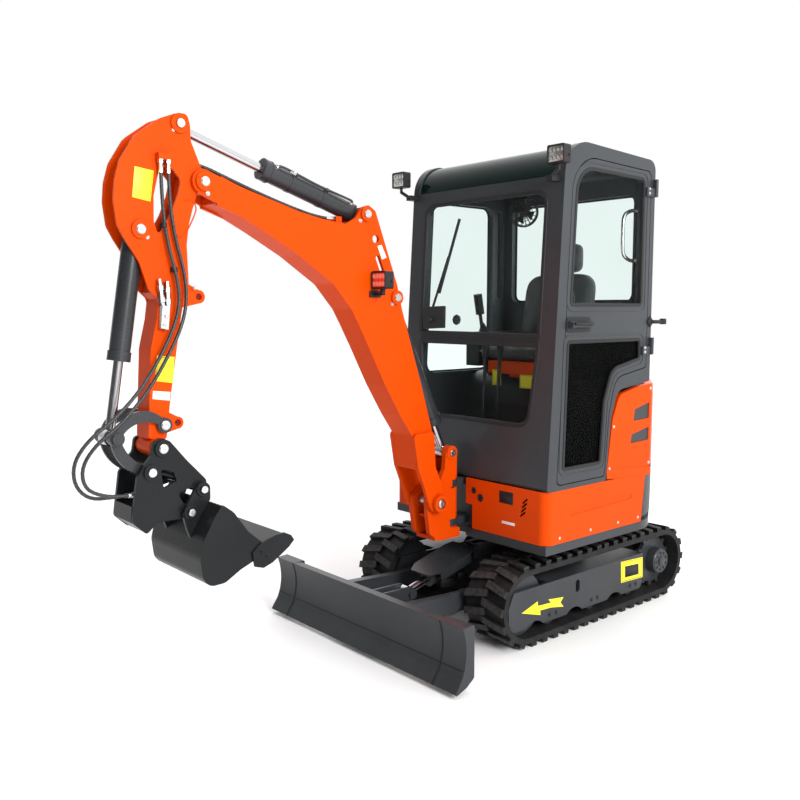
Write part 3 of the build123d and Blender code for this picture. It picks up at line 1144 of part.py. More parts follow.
def bucket():
    """Wide ditching bucket: round shell, side plates, cutting edge and ears on two pins."""
    side = face_of(BUCKET_SIDE, [8, 60, 120, 10, 10, 60, 40, 40, 40, 60, 60, 12])
    low, high = HOUSE_Y - BUCKET_HALF, HOUSE_Y + BUCKET_HALF
    hollow = offset(side, amount=-BUCKET_WALL, kind=Kind.INTERSECTION)
    mouth = face_of([(1930, 835), (1905, 802), (1864, 772), (1800, 694), (1752, 640), (1700, 660), (1760, 850)])
    shell = across(side - hollow - mouth, low, high)
    plates = across(side, low, low + 12) + across(side, high - 12, high)
    edge = face_of([(1760, 600), (1764, 612), (1618 + 8, 654), (1618, 640)])
    solid = fused(shell, plates, across(edge, low, high))
    for ear in both_sides(HITCH_HALF + SIDE_PLAY, HITCH_HALF + SIDE_PLAY + EAR_PLATE, lambda a, b: across(_ear_face(), a, b)):
        solid = solid + ear
    reach = HITCH_HALF + SIDE_PLAY + EAR_PLATE
    for place in (BUCKET_PIN_HIGH, BUCKET_PIN_LOW):
        solid = solid + pin(place, PIN_RADIUS - 2, HOUSE_Y - reach - 14, HOUSE_Y + reach + 14)
        for boss in both_sides(reach, reach + 8, lambda a, b: pin(place, 26, a, b)):
            solid = solid + boss
    return solid


def _ear_face():
    bx, bz = BUCKET_PIN_HIGH
    lx, lz = BUCKET_PIN_LOW
    ear = face_of([(bx - 30, bz), (bx, bz + 30), (bx + 30, bz + 4), (lx + 6, lz + 32), (lx + 30, lz), (lx + 14, lz - 60),
                   (1992, 690), (1960, 745), (1925, 800), (bx - 30, bz - 40)], [20, 24, 14, 20, 20, 10, 0, 0, 0, 10])
    return ear


# Hoses: the route of each, from the fitting that it leaves to the one that it enters
HOSE_RADIUS = 6.5
HITCH_HOSE_ROUTES = [
    [(2050, 119, 2010), (2050, 119, 1860), (2030, 121, 1715), (2000, 126, 1602), (2000, 132, 1500), (2056, 138, 1378),
     (2148, 142, 1240), (2248, 142, 1140), (2334, 132, 1080), (2384, 112, 1003), (2376, 94, 922), (2322, 80, 866),
     (2240, 80, 862), (2156, 80, 862)],
    [(2022, 119, 2010), (2022, 119, 1880), (2004, 119, 1750), (1974, 121, 1640), (1968, 128, 1540), (1996, 136, 1440),
     (2068, 142, 1316), (2140, 142, 1212), (2234, 142, 1116), (2314, 132, 1058), (2360, 118, 985), (2348, 108, 912),
     (2290, 104, 878), (2222, 104, 866), (2156, 104, 866)],
]
BOOM_HOSE_ROUTES = [
    [(1290, 78, 1864), (1360, 78, 1864), (1500, 78, 1896), (1640, 78, 1936), (1770, 78, 1978), (1870, 76, 2012),
     (1950, 74, 2021), (2011, 74, 2021)],
    [(1290, 36, 1864), (1364, 36, 1864), (1506, 34, 1898), (1648, 34, 1940), (1774, 34, 1982), (1872, 36, 2014),
     (1950, 38, 2021), (2011, 38, 2021)],
]


def hose(points):
    """Hose of straight runs and round bends, each bend as large as its two runs allow."""
    corners = [Vector(*p) for p in points]
    radii = []
    for before, here, after in zip(corners, corners[1:], corners[2:]):
        turn = radians((here - before).get_angle(after - here))
        run = min((here - before).length, (after - here).length)
        radii.append(0.45 * run / (sin(turn / 2) / cos(turn / 2)))
    path = FilletPolyline(*points, radius=radii)
    print("hose length", round(path.length), "tightest bend", round(min(radii)), "in diameters",
          round(min(radii) / (2 * HOSE_RADIUS), 1))
    start = Plane(origin=path @ 0, z_dir=path % 0)
    return sweep(start * Circle(HOSE_RADIUS), path=path)


def hitch_hoses():
    """Pair of hoses from the arm's fittings round the bucket linkage to the hitch's valve."""
    return [hose(route) for route in HITCH_HOSE_ROUTES]


def boom_hoses():
    """Pair of hoses along the boom's back and between the arm's plates to its fittings."""
    return [hose(route) for route in BOOM_HOSE_ROUTES]


# Writing
def pieces():
    """Every node's name with its solids, by body."""
    left_track = track()
    left_frame = track_frame()
    left_idler, left_sprocket = idler(), sprocket()
    left_rollers = rollers()
    boom_barrel, boom_rod = cylinder_pair(BOOM_CYL_BASE, BOOM_CYL_ROD, BOOM_CYL)
    arm_barrel, arm_rod = cylinder_pair(ARM_CYL_BASE, ARM_CYL_ROD, ARM_CYL)
    bucket_barrel, bucket_rod = cylinder_pair(BUCKET_CYL_BASE, LINK_JOINT, BUCKET_CYL)
    blade_barrel, blade_rod = blade_cylinder()
    return {
        "undercarriage": {
            "centre_frame": [centre_frame()], "slew_ring": [slew_ring()],
            "track_frame_left": [left_frame], "track_frame_right": [right_of(left_frame)],
            "track_left": [left_track], "track_right": [right_of(left_track)],
            "sprockets": [left_sprocket, right_of(left_sprocket)],
            "idlers": [left_idler, right_of(left_idler)],
            "track_rollers": left_rollers + [right_of(r) for r in left_rollers],
        },
        "blade": {"blade": [blade()], "blade_wings": blade_wings()},
        "blade_barrel": {"blade_cylinder_barrel": [blade_barrel]},
        "blade_rod": {"blade_cylinder_rod": [blade_rod]},
        "house": {
            "deck": [deck()], "front_skirt": [front_skirt()], "right_skirt": [right_skirt()],
            "right_cover": [right_cover()], "counterweight": [counterweight()],
            "engine_block": [engine_block()], "left_cowl": [left_cowl()], "cowl_grilles": cowl_grilles(),
            "cab_frame": [cab_frame()], "roof_visor": [roof_visor()], "windscreen": windscreen(),
            "cab_glass": cab_glass(), "seat_cushion": seat_parts()[:1], "seat_back": seat_parts()[1:],
            "seat_stand": [seat_stand()], "consoles": consoles(), "travel_levers": [travel_levers()],
            "work_lamps": work_lamps(), "wiper": [wiper()],
        },
        "hood": {"engine_hood": [engine_hood()]},
        "door": {"door": [door()], "door_glass": door_glass()},
        "swing_post": {"swing_post": [swing_post()]},
        "boom": {"boom": [boom()], "boom_pins": boom_pins(), "boom_lamp": [boom_lamp()], "boom_hoses": boom_hoses()},
        "boom_barrel": {"boom_cylinder_barrel": [boom_barrel]},
        "boom_rod": {"boom_cylinder_rod": [boom_rod]},
        "arm": {"arm": [arm()], "arm_pins": arm_pins(), "hitch_hoses": hitch_hoses()},
        "arm_barrel": {"arm_cylinder_barrel": [arm_barrel]},
        "arm_rod": {"arm_cylinder_rod": [arm_rod]},
        "bucket_barrel": {"bucket_cylinder_barrel": [bucket_barrel]},
        "bucket_rod": {"bucket_cylinder_rod": [bucket_rod]},
        "guide_links": {"guide_links": guide_links()},
        "push_link": {"push_link": [push_link()]},
        "bucket": {"quick_hitch": [quick_hitch()], "bucket": [bucket()]},
    }


def origin_shift(nodes):
    """Distance along X from the slew axis to the middle of the whole machine's length."""
    rigid = [solids for body in nodes.values() for name, solids in body.items() if "hose" not in name]
    boxes = [s.bounding_box() for solids in rigid for s in solids]
    return (min(b.min.X for b in boxes) + max(b.max.X for b in boxes)) / 2


def main():
    nodes = pieces()
    shift = origin_shift(nodes)
    for body in nodes.values():
        for name, solids in body.items():
            shape = solids[0] if len(solids) == 1 else Compound(children=solids)
            export_step(Pos(-shift, 0, 0) * shape, f"parts/{name}.step")
    return shift


SHIFT = main()
print("origin shift", round(SHIFT, 4))
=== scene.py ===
import json
from math import cos, exp, pi, radians, sin

import bmesh
import bpy
from mathutils import Matrix, Vector


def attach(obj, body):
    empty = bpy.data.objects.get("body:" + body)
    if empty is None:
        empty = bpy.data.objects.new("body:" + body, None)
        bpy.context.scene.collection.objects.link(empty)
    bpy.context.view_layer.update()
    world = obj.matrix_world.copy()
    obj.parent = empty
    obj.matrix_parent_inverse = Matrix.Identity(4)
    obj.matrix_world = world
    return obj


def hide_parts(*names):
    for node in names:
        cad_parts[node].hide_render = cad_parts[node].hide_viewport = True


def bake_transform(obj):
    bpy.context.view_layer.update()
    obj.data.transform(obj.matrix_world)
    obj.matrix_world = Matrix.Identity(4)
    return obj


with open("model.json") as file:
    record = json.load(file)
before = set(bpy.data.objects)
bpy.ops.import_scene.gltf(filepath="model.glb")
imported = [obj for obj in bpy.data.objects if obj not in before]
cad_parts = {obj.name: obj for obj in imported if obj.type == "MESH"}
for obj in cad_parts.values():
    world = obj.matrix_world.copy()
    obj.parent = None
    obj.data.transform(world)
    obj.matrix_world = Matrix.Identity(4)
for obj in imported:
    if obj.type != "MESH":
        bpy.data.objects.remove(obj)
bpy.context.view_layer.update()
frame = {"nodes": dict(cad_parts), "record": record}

# Looks of the mini excavator. Places are in millimetres counted from the slew axis, as in the
# part's source, and at() turns them into the frame's metres.
SHIFT = 753.0
# Middle plane of the boom and arm; the sprockets' and idlers' axles; radius of the tracks' lugs about them
HOUSE_Y = 55.0
AXLE_X, AXLE_Z, LUG_TIP = 533, 188, 182.2


def at(x, y, z):
    """Place in the frame's metres."""
    return Vector(((x - SHIFT) / 1000, y / 1000, z / 1000))


# Camera: lens and sensor in millimetres, the photograph's side in pixels, and the place it was taken from
LENS, SENSOR, PHOTO = 38.99, 36.0, 800
YAW, PITCH = radians(228.97), radians(-6.02)
EYE = Vector((2.6602, 2.9248, 1.5057))
LOOK = Vector((cos(PITCH) * cos(YAW), cos(PITCH) * sin(YAW), sin(PITCH)))
RIGHT = LOOK.cross(Vector((0, 0, 1))).normalized()
UP = RIGHT.cross(LOOK)


def sight(px, py):
    """Direction in which the photograph shows a pixel."""
    return LOOK * (LENS / SENSOR * PHOTO) + RIGHT * (px - PHOTO / 2) - UP * (py - PHOTO / 2)


def seen(px, py, y):
    """Point that the photograph shows at a pixel, on the upright plane at y millimetres."""
    ray = sight(px, py)
    return EYE + ray * ((y / 1000 - EYE.y) / ray.y)


def met(px, py, point, normal):
    """Point that the photograph shows at a pixel, on the plane through a point."""
    ray = sight(px, py)
    return EYE + ray * ((point - EYE).dot(normal) / ray.dot(normal))


camera = bpy.data.objects.new("camera", bpy.data.cameras.new("camera"))
bpy.context.scene.collection.objects.link(camera)
camera.data.lens = LENS
camera.data.sensor_width = SENSOR
camera.matrix_world = Matrix.Translation(EYE) @ LOOK.to_track_quat("-Z", "Y").to_matrix().to_4x4()
bpy.context.scene.camera = camera


# Materials
BEVEL_SAMPLES, WEAVE_SCALE = 3, 900.0
SETTLED_DUST = (0.30, 0.28, 0.25)


class Shader:
    """Node material with a few helpers for procedural surfaces."""

    def __init__(self, name):
        self.material = bpy.data.materials.new(name)
        self.material.use_nodes = True
        self.nodes = self.material.node_tree.nodes
        self.links = self.material.node_tree.links
        self.body = self.nodes["Principled BSDF"]
        self.coords = self.nodes.new("ShaderNodeTexCoord")

    def add(self, kind, values=None, **links):
        """Node with its settings or socket values, and with links into the sockets named."""
        node = self.nodes.new("ShaderNode" + kind)
        for key, value in (values or {}).items():
            if isinstance(key, str) and hasattr(node, key):
                setattr(node, key, value)
            else:
                node.inputs[key].default_value = value
        for key, source in links.items():
            self.links.new(source, node.inputs[key.replace("_", " ")])
        return node

    def noise(self, scale, detail=3.0, stretch=(1, 1, 1)):
        """Cloudy pattern fixed to the object."""
        mapping = self.add("Mapping", {"Scale": stretch}, Vector=self.coords.outputs["Object"])
        return self.add("TexNoise", {"Scale": scale, "Detail": detail}, Vector=mapping.outputs[0]).outputs["Fac"]

    def between(self, fac, low, high, start=0.3, end=0.7):
        """Colour that goes from low to high as fac goes from start to end."""
        ramp = self.add("ValToRGB", Fac=fac)
        ramp.color_ramp.elements[0].position, ramp.color_ramp.elements[1].position = start, end
        ramp.color_ramp.elements[0].color = (*low, 1)
        ramp.color_ramp.elements[1].color = (*high, 1)
        return ramp.outputs["Color"]

    def level(self, fac, low, high):
        """Number that goes from low to high as fac goes through its middle range."""
        node = self.add("MapRange", {"From Min": 0.3, "From Max": 0.7, "To Min": low, "To Max": high})
        self.links.new(fac, node.inputs["Value"])
        return node.outputs["Result"]

    def mix(self, fac, first, second):
        """Colour between two, each a socket or a constant."""
        node = self.add("Mix", {"data_type": "RGBA"})
        for slot, source in ((0, fac), (6, first), (7, second)):
            if isinstance(source, (int, float)):
                node.inputs[slot].default_value = source
            elif isinstance(source, tuple):
                node.inputs[slot].default_value = (*source, 1)
            else:
                self.links.new(source, node.inputs[slot])
        return node.outputs[2]

    def math(self, operation, first, second=0.0):
        """Result of a sum on two numbers, each a socket or a constant."""
        node = self.add("Math", {"operation": operation})
        for slot, source in ((0, first), (1, second)):
            if isinstance(source, (int, float)):
                node.inputs[slot].default_value = source
            else:
                self.links.new(source, node.inputs[slot])
        return node.outputs[0]

    def colour(self, source):
        self.links.new(source, self.body.inputs["Base Color"])


def surface(name, colour, rough, metal=0.0, vary=0.1, grain=260.0, bump=0.12, edge=0.0025, wear=0.0,
            dust=0.0, stretch=(1, 1, 1), shine=0.35):
    """Painted, cast or moulded surface: mottled colour, fine grain, soft worn edges and settled dust."""
    s = Shader(name)
    broad = s.noise(2.6, 5.0)
    fine = s.noise(grain, 2.0, stretch)
    dark = tuple(c * (1 - vary) for c in colour)
    light = tuple(min(1, c * (1 + vary)) for c in colour)
    base = s.between(broad, dark, light)
    round_edge = s.add("Bevel", {"samples": BEVEL_SAMPLES, "Radius": edge}) if edge else None
    if wear and round_edge:
        geometry = s.add("NewGeometry")
        dot = s.add("VectorMath", {"operation": "DOT_PRODUCT"})
        s.links.new(round_edge.outputs[0], dot.inputs[0])
        s.links.new(geometry.outputs["Normal"], dot.inputs[1])
        edge_line = s.math("LESS_THAN", dot.outputs["Value"], 0.93)
        patchy = s.math("MULTIPLY", edge_line, s.level(s.noise(38.0), 0.0, wear))
        base = s.mix(patchy, base, tuple(min(1, c * 1.6 + 0.12) for c in colour))
    if dust:
        geometry = s.add("NewGeometry")
        normal = s.add("SeparateXYZ", Vector=geometry.outputs["Normal"])
        lying = s.math("MULTIPLY", s.math("MAXIMUM", normal.outputs["Z"], 0.0), s.level(s.noise(9.0), 0.0, dust))
        base = s.mix(lying, base, SETTLED_DUST)
    s.colour(base)
    s.links.new(s.level(fine, max(0.02, rough - 0.07), min(1, rough + 0.07)), s.body.inputs["Roughness"])
    relief = s.add("Bump", {"Strength": bump, "Distance": 0.0012}, Height=fine)
    if round_edge:
        s.links.new(round_edge.outputs[0], relief.inputs["Normal"])
    s.links.new(relief.outputs[0], s.body.inputs["Normal"])
    s.body.inputs["Metallic"].default_value = metal
    s.body.inputs["Specular IOR Level"].default_value = shine
    return s.material


def rubber_track():
    """Moulded rubber with its lugs' faces worn paler where they meet the ground."""
    s = Shader("track_rubber")
    place = s.add("SeparateXYZ", Vector=s.coords.outputs["Object"])
    from_middle = s.math("ABSOLUTE", s.math("ADD", place.outputs["X"], SHIFT / 1000))
    along = s.math("MAXIMUM", s.math("SUBTRACT", from_middle, AXLE_X / 1000), 0.0)
    rise = s.math("SUBTRACT", place.outputs["Z"], AXLE_Z / 1000)
    out = s.math("SQRT", s.math("ADD", s.math("MULTIPLY", along, along), s.math("MULTIPLY", rise, rise)))
    tip = s.math("GREATER_THAN", out, LUG_TIP / 1000)
    broad = s.noise(14.0, 5.0)
    base = s.between(broad, (0.005, 0.005, 0.006), (0.017, 0.017, 0.017))
    worn = s.between(s.noise(60.0), (0.02, 0.019, 0.018), (0.06, 0.058, 0.056))
    s.colour(s.mix(s.math("MULTIPLY", tip, 0.85), base, worn))
    s.links.new(s.level(s.noise(300.0), 0.55, 0.8), s.body.inputs["Roughness"])
    s.body.inputs["Specular IOR Level"].default_value = 0.25
    soft = s.add("Bevel", {"samples": BEVEL_SAMPLES, "Radius": 0.003})
    relief = s.add("Bump", {"Strength": 0.3, "Distance": 0.0015}, Height=s.noise(220.0, 4.0),
                   Normal=soft.outputs[0])
    s.links.new(relief.outputs[0], s.body.inputs["Normal"])
    return s.material


def pane(name, tint, share, below=None):
    """Thin pane: mostly clear, with a share of tinted shine, faintly smeared, and film below a height."""
    s = Shader(name)
    clear = s.add("BsdfTransparent")
    through = s.between(s.noise(3.0), tuple(c * 0.99 for c in tint), tint)
    if below:
        height = s.add("SeparateXYZ", Vector=s.coords.outputs["Object"]).outputs["Z"]
        through = s.mix(s.math("LESS_THAN", height, below), through, FILM)
    s.links.new(through, clear.inputs["Color"])
    s.colour(s.between(s.noise(4.0), tuple(c * 0.10 for c in tint), tuple(c * 0.16 for c in tint)))
    s.links.new(s.level(s.noise(7.0), 0.02, 0.05), s.body.inputs["Roughness"])
    blend = s.add("MixShader", {"Fac": share})
    s.links.new(clear.outputs[0], blend.inputs[1])
    s.links.new(s.body.outputs[0], blend.inputs[2])
    s.links.new(blend.outputs[0], s.nodes["Material Output"].inputs["Surface"])
    return s.material


def woven(name, colour):
    """Vinyl and fabric of the seat: fine crossed weave with creases."""
    s = Shader(name)
    waves = []
    for direction in ("X", "Y"):
        wave = s.add("TexWave", {"bands_direction": direction, "Scale": WEAVE_SCALE, "Distortion": 0.6},
                     Vector=s.coords.outputs["Object"])
        waves.append(wave.outputs["Fac"])
    weave = s.math("MULTIPLY", waves[0], waves[1])
    creases = s.noise(16.0, 6.0)
    height = s.math("ADD", s.math("MULTIPLY", weave, 0.25), creases)
    s.colour(s.between(s.noise(9.0, 5.0), tuple(c * 0.7 for c in colour), tuple(c * 1.35 for c in colour)))
    relief = s.add("Bump", {"Strength": 0.55, "Distance": 0.004}, Height=height)
    s.links.new(relief.outputs[0], s.body.inputs["Normal"])
    s.links.new(s.level(creases, 0.3, 0.6), s.body.inputs["Roughness"])
    return s.material


def guarded_hose():
    """Black rubber of the hydraulic hoses and their spiral guards."""
    s = Shader("hose_rubber")
    s.colour(s.between(s.noise(160.0, 4.0), (0.008, 0.008, 0.009), (0.04, 0.04, 0.042)))
    relief = s.add("Bump", {"Strength": 0.35, "Distance": 0.0015}, Height=s.noise(500.0))
    s.links.new(relief.outputs[0], s.body.inputs["Normal"])
    s.links.new(s.level(s.noise(80.0), 0.3, 0.5), s.body.inputs["Roughness"])
    return s.material


def mesh_grille():
    """Pressed mesh of small staggered holes, the holes painted near-black as painted shade in the openings."""
    s = Shader("grille_mesh")
    cells = s.add("TexVoronoi", {"feature": "DISTANCE_TO_EDGE", "Scale": 130.0, "Randomness": 0.0},
                  Vector=s.coords.outputs["Object"])
    holes = cells.outputs["Distance"]
    # Bars dark grey; holes near-black as painted shade where the openings lead into the dark inside
    s.colour(s.between(holes, (0.022, 0.022, 0.024), (0.002, 0.002, 0.002), 0.12, 0.2))
    relief = s.add("Bump", {"Strength": 1.0, "Distance": 0.003, "invert": True}, Height=holes)
    s.links.new(relief.outputs[0], s.body.inputs["Normal"])
    s.links.new(s.level(s.noise(90.0), 0.35, 0.55), s.body.inputs["Roughness"])
    return s.material


ORANGE = (0.66, 0.056, 0.0008)
CLEAR, FILM, FILM_TOP = (0.968, 1.0, 0.992), (0.30, 0.335, 0.33), 1.44
FINISH = {
    "track_rubber": rubber_track(),
    "frame_black": surface("frame_black", (0.030, 0.033, 0.037), 0.38, vary=0.2, wear=0.15, dust=0.05, shine=0.28),
    "ring_steel": surface("ring_steel", (0.42, 0.42, 0.43), 0.34, metal=0.9, vary=0.15, wear=0.3),
    "rod_chrome": surface("rod_chrome", (0.46, 0.46, 0.48), 0.16, metal=1.0, vary=0.05, bump=0.02, edge=0,
                          stretch=(1, 1, 0.02)),
    "cylinder_black": surface("cylinder_black", (0.027, 0.029, 0.032), 0.3, vary=0.25, wear=0.25, shine=0.3),
    "orange_paint": surface("orange_paint", ORANGE, 0.34, vary=0.06, bump=0.06, wear=0.08, grain=160.0, shine=0.06),
    "weight_grey": surface("weight_grey", (0.036, 0.038, 0.042), 0.45, vary=0.15, bump=0.35, grain=90.0),
    "cab_grey": surface("cab_grey", (0.034, 0.0375, 0.042), 0.33, vary=0.1, bump=0.08, wear=0.08, shine=0.28),
    "window_glass": pane("window_glass", CLEAR, 0.022),
    "visor_green": pane("visor_green", (0.02, 0.14, 0.12), 0.62),
    "black_plastic": surface("black_plastic", (0.010, 0.010, 0.011), 0.5, vary=0.25, bump=0.25, grain=420.0),
    "seat_cover": woven("seat_cover", (0.025, 0.028, 0.03)),
    "engine_iron": surface("engine_iron", (0.09, 0.09, 0.092), 0.55, metal=0.4, vary=0.3, bump=0.5, grain=60.0),
    "tool_black": surface("tool_black", (0.010, 0.011, 0.0125), 0.3, vary=0.25, wear=0.25, dust=0.03, shine=0.16),
    "hose_rubber": guarded_hose(),
}
ZINC = surface("zinc_steel", (0.56, 0.56, 0.55), 0.28, metal=1.0, vary=0.18, bump=0.15, edge=0.0008)
YELLOW = surface("label_yellow", (0.85, 0.72, 0.02), 0.38, vary=0.05, bump=0.05, edge=0)
WHITE = surface("label_white", (0.80, 0.80, 0.78), 0.4, vary=0.04, bump=0.05, edge=0)
SEAL = surface("seal_rubber", (0.011, 0.011, 0.012), 0.58, vary=0.3, bump=0.3, grain=500.0, edge=0)
MIRROR = surface("lamp_mirror", (0.85, 0.84, 0.82), 0.12, metal=1.0, vary=0.1, bump=0.3, grain=200.0, edge=0)
AMBER = surface("lamp_warm", (0.95, 0.42, 0.33), 0.2, metal=0.3, vary=0.35, bump=0.3, grain=160.0, edge=0)
DOOR_PANES = pane("door_panes", CLEAR, 0.022, below=FILM_TOP)
REFLECTOR = surface("lamp_reflector", (0.50, 0.49, 0.46), 0.22, metal=0.85, vary=0.35, bump=0.6, grain=70.0,
                    edge=0)
WARM = surface("lamp_warm_back", (0.80, 0.085, 0.045), 0.25, metal=0.2, vary=0.25, bump=0.4, grain=70.0, edge=0)
GRILLE = mesh_grille()

# Nodes in another finish than their slot's
REPAINTED = {"seat_stand": FINISH["orange_paint"], "swing_post": FINISH["orange_paint"], "boom_pins": ZINC,
             "arm_pins": ZINC, "cowl_grilles": GRILLE, "door_glass": DOOR_PANES}
for entry in frame["record"]["subparts"]:
    node = frame["nodes"][entry["node"]]
    finish = REPAINTED.get(entry["node"], FINISH[entry["material_slot"]])
    for place in node.material_slots:
        place.material = finish
    if not node.material_slots:
        node.data.materials.append(finish)


# Shapes
FORWARD, LEFT = Vector((1, 0, 0)), Vector((0, 1, 0))


def formed(name, bm, finish):
    """Smooth object made of a bmesh, in one finish."""
    bmesh.ops.recalc_face_normals(bm, faces=bm.faces)
    mesh = bpy.data.meshes.new(name)
    bm.to_mesh(mesh)
    bm.free()
    mesh.shade_smooth()
    mesh.materials.append(finish)
    piece = bpy.data.objects.new(name, mesh)
    bpy.context.scene.collection.objects.link(piece)
    return piece


def sides_of(axis):
    """Unit axis and two more at right angles to it."""
    axis = Vector(axis).normalized()
    side = axis.orthogonal().normalized()
    return axis, side, axis.cross(side)


class Kit:
    """One piece made of several closed forms, in one finish and on one body."""

    def __init__(self, name, body, finish, slot=None):
        self.name, self.body, self.finish, self.slot = name, body, finish, slot
        self.bm = bmesh.new()

    def loft(self, rings, closed=False):
        """Skin through rings of points, capped at both ends unless it closes on itself."""
        rows = [[self.bm.verts.new(p) for p in ring] for ring in rings]
        pairs = list(zip(rows, rows[1:])) + ([(rows[-1], rows[0])] if closed else [])
        for a, b in pairs:
            for i in range(len(a)):
                j = (i + 1) % len(a)
                self.bm.faces.new((a[i], a[j], b[j], b[i]))
        if not closed:
            self.bm.faces.new(rows[0][::-1])
            self.bm.faces.new(rows[-1])
        return self

    def turned(self, centre, axis, profile, sides=28, turn=0.0):
        """Round form about an axis, from (distance, radius) pairs in millimetres."""
        axis, side, other = sides_of(axis)
        rings = []
        for along, radius in profile:
            middle = centre + axis * along / 1000
            angles = [2 * pi * (k + turn) / sides for k in range(sides)]
            rings.append([middle + (side * cos(a) + other * sin(a)) * max(radius, 0.05) / 1000 for a in angles])
        return self.loft(rings)

    def bolt(self, centre, axis, size=9.0):
        """Hexagon head on its washer."""
        self.turned(centre, axis, [(-1, size * 1.35), (1.6, size * 1.35), (2.0, size * 1.28)], 24)
        return self.turned(centre, axis, [(1.9, size), (1.9 + size * 0.5, size), (2.2 + size * 0.62, size * 0.84)], 6)

    def slab(self, outline, normal, thick):
        """Plate on a flat outline of points, thick millimetres along the normal, with a small chamfer."""
        normal = Vector(normal).normalized() * thick / 1000
        middle = sum(outline, Vector()) / len(outline)
        inner = [p + (middle - p) * min(0.06, 0.0006 / max((middle - p).length, 0.001)) for p in outline]
        return self.loft([outline, [p + normal * 0.7 for p in outline], [p + normal for p in inner]])

    def tube(self, points, radius, sides=12, closed=False):
        """Round bar along points, its radius in millimetres."""
        points = [Vector(p) for p in points]
        rings, side = [], None
        count = len(points)
        for k, p in enumerate(points):
            before = points[(k - 1) % count] if closed or k else p
            after = points[(k + 1) % count] if closed or k < count - 1 else p
            run = (after - before).normalized()
            side = run.orthogonal() if side is None else side - run * side.dot(run)
            side = side.normalized()
            other = run.cross(side)
            rings.append([p + (side * cos(2 * pi * i / sides) + other * sin(2 * pi * i / sides)) * radius / 1000
                          for i in range(sides)])
        return self.loft(rings, closed)

    def band(self, centre, axis, inner, outer, width, sides=48):
        """Ring of four-sided section about an axis."""
        axis, side, other = sides_of(axis)
        rings = []
        for k in range(sides):
            ray = side * cos(2 * pi * k / sides) + other * sin(2 * pi * k / sides)
            rings.append([centre + (ray * r + axis * h) / 1000 for r, h in
                          ((inner, -width / 2), (outer, -width / 2), (outer, width / 2), (inner, width / 2))])
        return self.loft(rings, True)

    def strip(self, points, normal, width, height):
        """Closed strip of four-sided section along a loop, standing on its surface."""
        normal = Vector(normal).normalized()
        rings, count = [], len(points)
        for k, p in enumerate(points):
            run = (points[(k + 1) % count] - points[k - 1]).normalized()
            side = run.cross(normal) * width / 2000
            rise = normal * height / 1000
            rings.append([p - side - rise, p + side - rise, p + side * 0.7 + rise, p - side * 0.7 + rise])
        return self.loft(rings, True)

    def done(self, round_by=0.0):
        """The finished piece, with edges over 35 degrees left sharp or rounded by millimetres."""
        piece = formed(self.name, self.bm, self.finish)
        piece.data.set_sharp_from_angle(angle=radians(35))
        if round_by:
            bevel = piece.modifiers.new("edges", "BEVEL")
            bevel.width, bevel.segments, bevel.limit_method = round_by / 1000, 2, "ANGLE"
        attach(piece, self.body)
        return piece


def swept(start, end, steps):
    """Places from start to end on the arc about the origin."""
    return [start.slerp(end, step / steps).normalized() * start.length for step in range(steps + 1)]


def rounded(points, radii, steps=6):
    """Outline with rounded corners, from its corner points and a radius for each."""
    out, count = [], len(points)
    for k, radius in enumerate(radii):
        here = Vector((*points[k], 0))
        before = (Vector((*points[k - 1], 0)) - here).normalized()
        after = (Vector((*points[(k + 1) % count], 0)) - here).normalized()
        half = before.angle(after) / 2
        cut = radius / (sin(half) / cos(half))
        centre = here + (before + after).normalized() * radius / sin(half)
        start, end = here + before * cut - centre, here + after * cut - centre
        out += [(centre.x + p.x, centre.y + p.y) for p in swept(start, end, steps)]
    return out


def arc(a, b, c, steps=14):
    """Points of the circle through three (x, z) places, from the first to the last."""
    (x1, z1), (x2, z2), (x3, z3) = a, b, c
    d = 2 * (x1 * (z2 - z3) + x2 * (z3 - z1) + x3 * (z1 - z2))
    q1, q2, q3 = x1 ** 2 + z1 ** 2, x2 ** 2 + z2 ** 2, x3 ** 2 + z3 ** 2
    centre = Vector(((q1 * (z2 - z3) + q2 * (z3 - z1) + q3 * (z1 - z2)) / d,
                     (q1 * (x3 - x2) + q2 * (x1 - x3) + q3 * (x2 - x1)) / d, 0))
    start, end = Vector((x1, z1, 0)) - centre, Vector((x3, z3, 0)) - centre
    return [(centre.x + p.x, centre.y + p.y) for p in swept(start, end, steps)]


def even(points, pitch=40.0):
    """The same loop with long runs divided."""
    out = []
    for k, p in enumerate(points):
        q = points[(k + 1) % len(points)]
        length = ((p[0] - q[0]) ** 2 + (p[1] - q[1]) ** 2) ** 0.5
        count = max(1, int(length / pitch))
        out += [(p[0] + (q[0] - p[0]) * i / count, p[1] + (q[1] - p[1]) * i / count) for i in range(count)]
    return out


def flowing(points, steps=6):
    """Smooth line through the points."""
    points = [Vector(p) for p in points]
    line = []
    for k in range(len(points) - 1):
        a, b = points[max(k - 1, 0)], points[k]
        c, d = points[k + 1], points[min(k + 2, len(points) - 1)]
        for step in range(steps):
            t = step / steps
            line.append(b + (c - a) * t / 2 + (2 * a - 5 * b + 4 * c - d) * t * t / 2
                        + (3 * b - a - 3 * c + d) * t ** 3 / 2)
    return line + [points[-1]]


def shown(pixels, y):
    """Points that the photograph shows at the pixels, on the upright plane at y millimetres."""
    return [seen(px, py, y) for px, py in pixels]


def beside(points, y):
    """(x, z) places put on the upright plane at y."""
    return [at(x, y, z) for x, z in points]


def across(points, x):
    """(y, z) places put on the plane at x."""
    return [at(x, y, z) for y, z in points]


# The cab's leaning front: a place at its foot, and the direction that it faces
FOOT_X, FOOT_Z, LEAN = 562.0, 722.3, (-92.0, 0, 1493.7)
OUT = Vector((0.99811, 0, 0.06148))


def front(y, z, depth):
    """Place on the cab's leaning front, depth millimetres out of it."""
    up = Vector(LEAN).normalized()
    out = Vector((up.z, 0, -up.x))
    p = Vector((FOOT_X, y, FOOT_Z)) + up * (z - FOOT_Z) * 1.00189 + out * depth
    return at(*p)


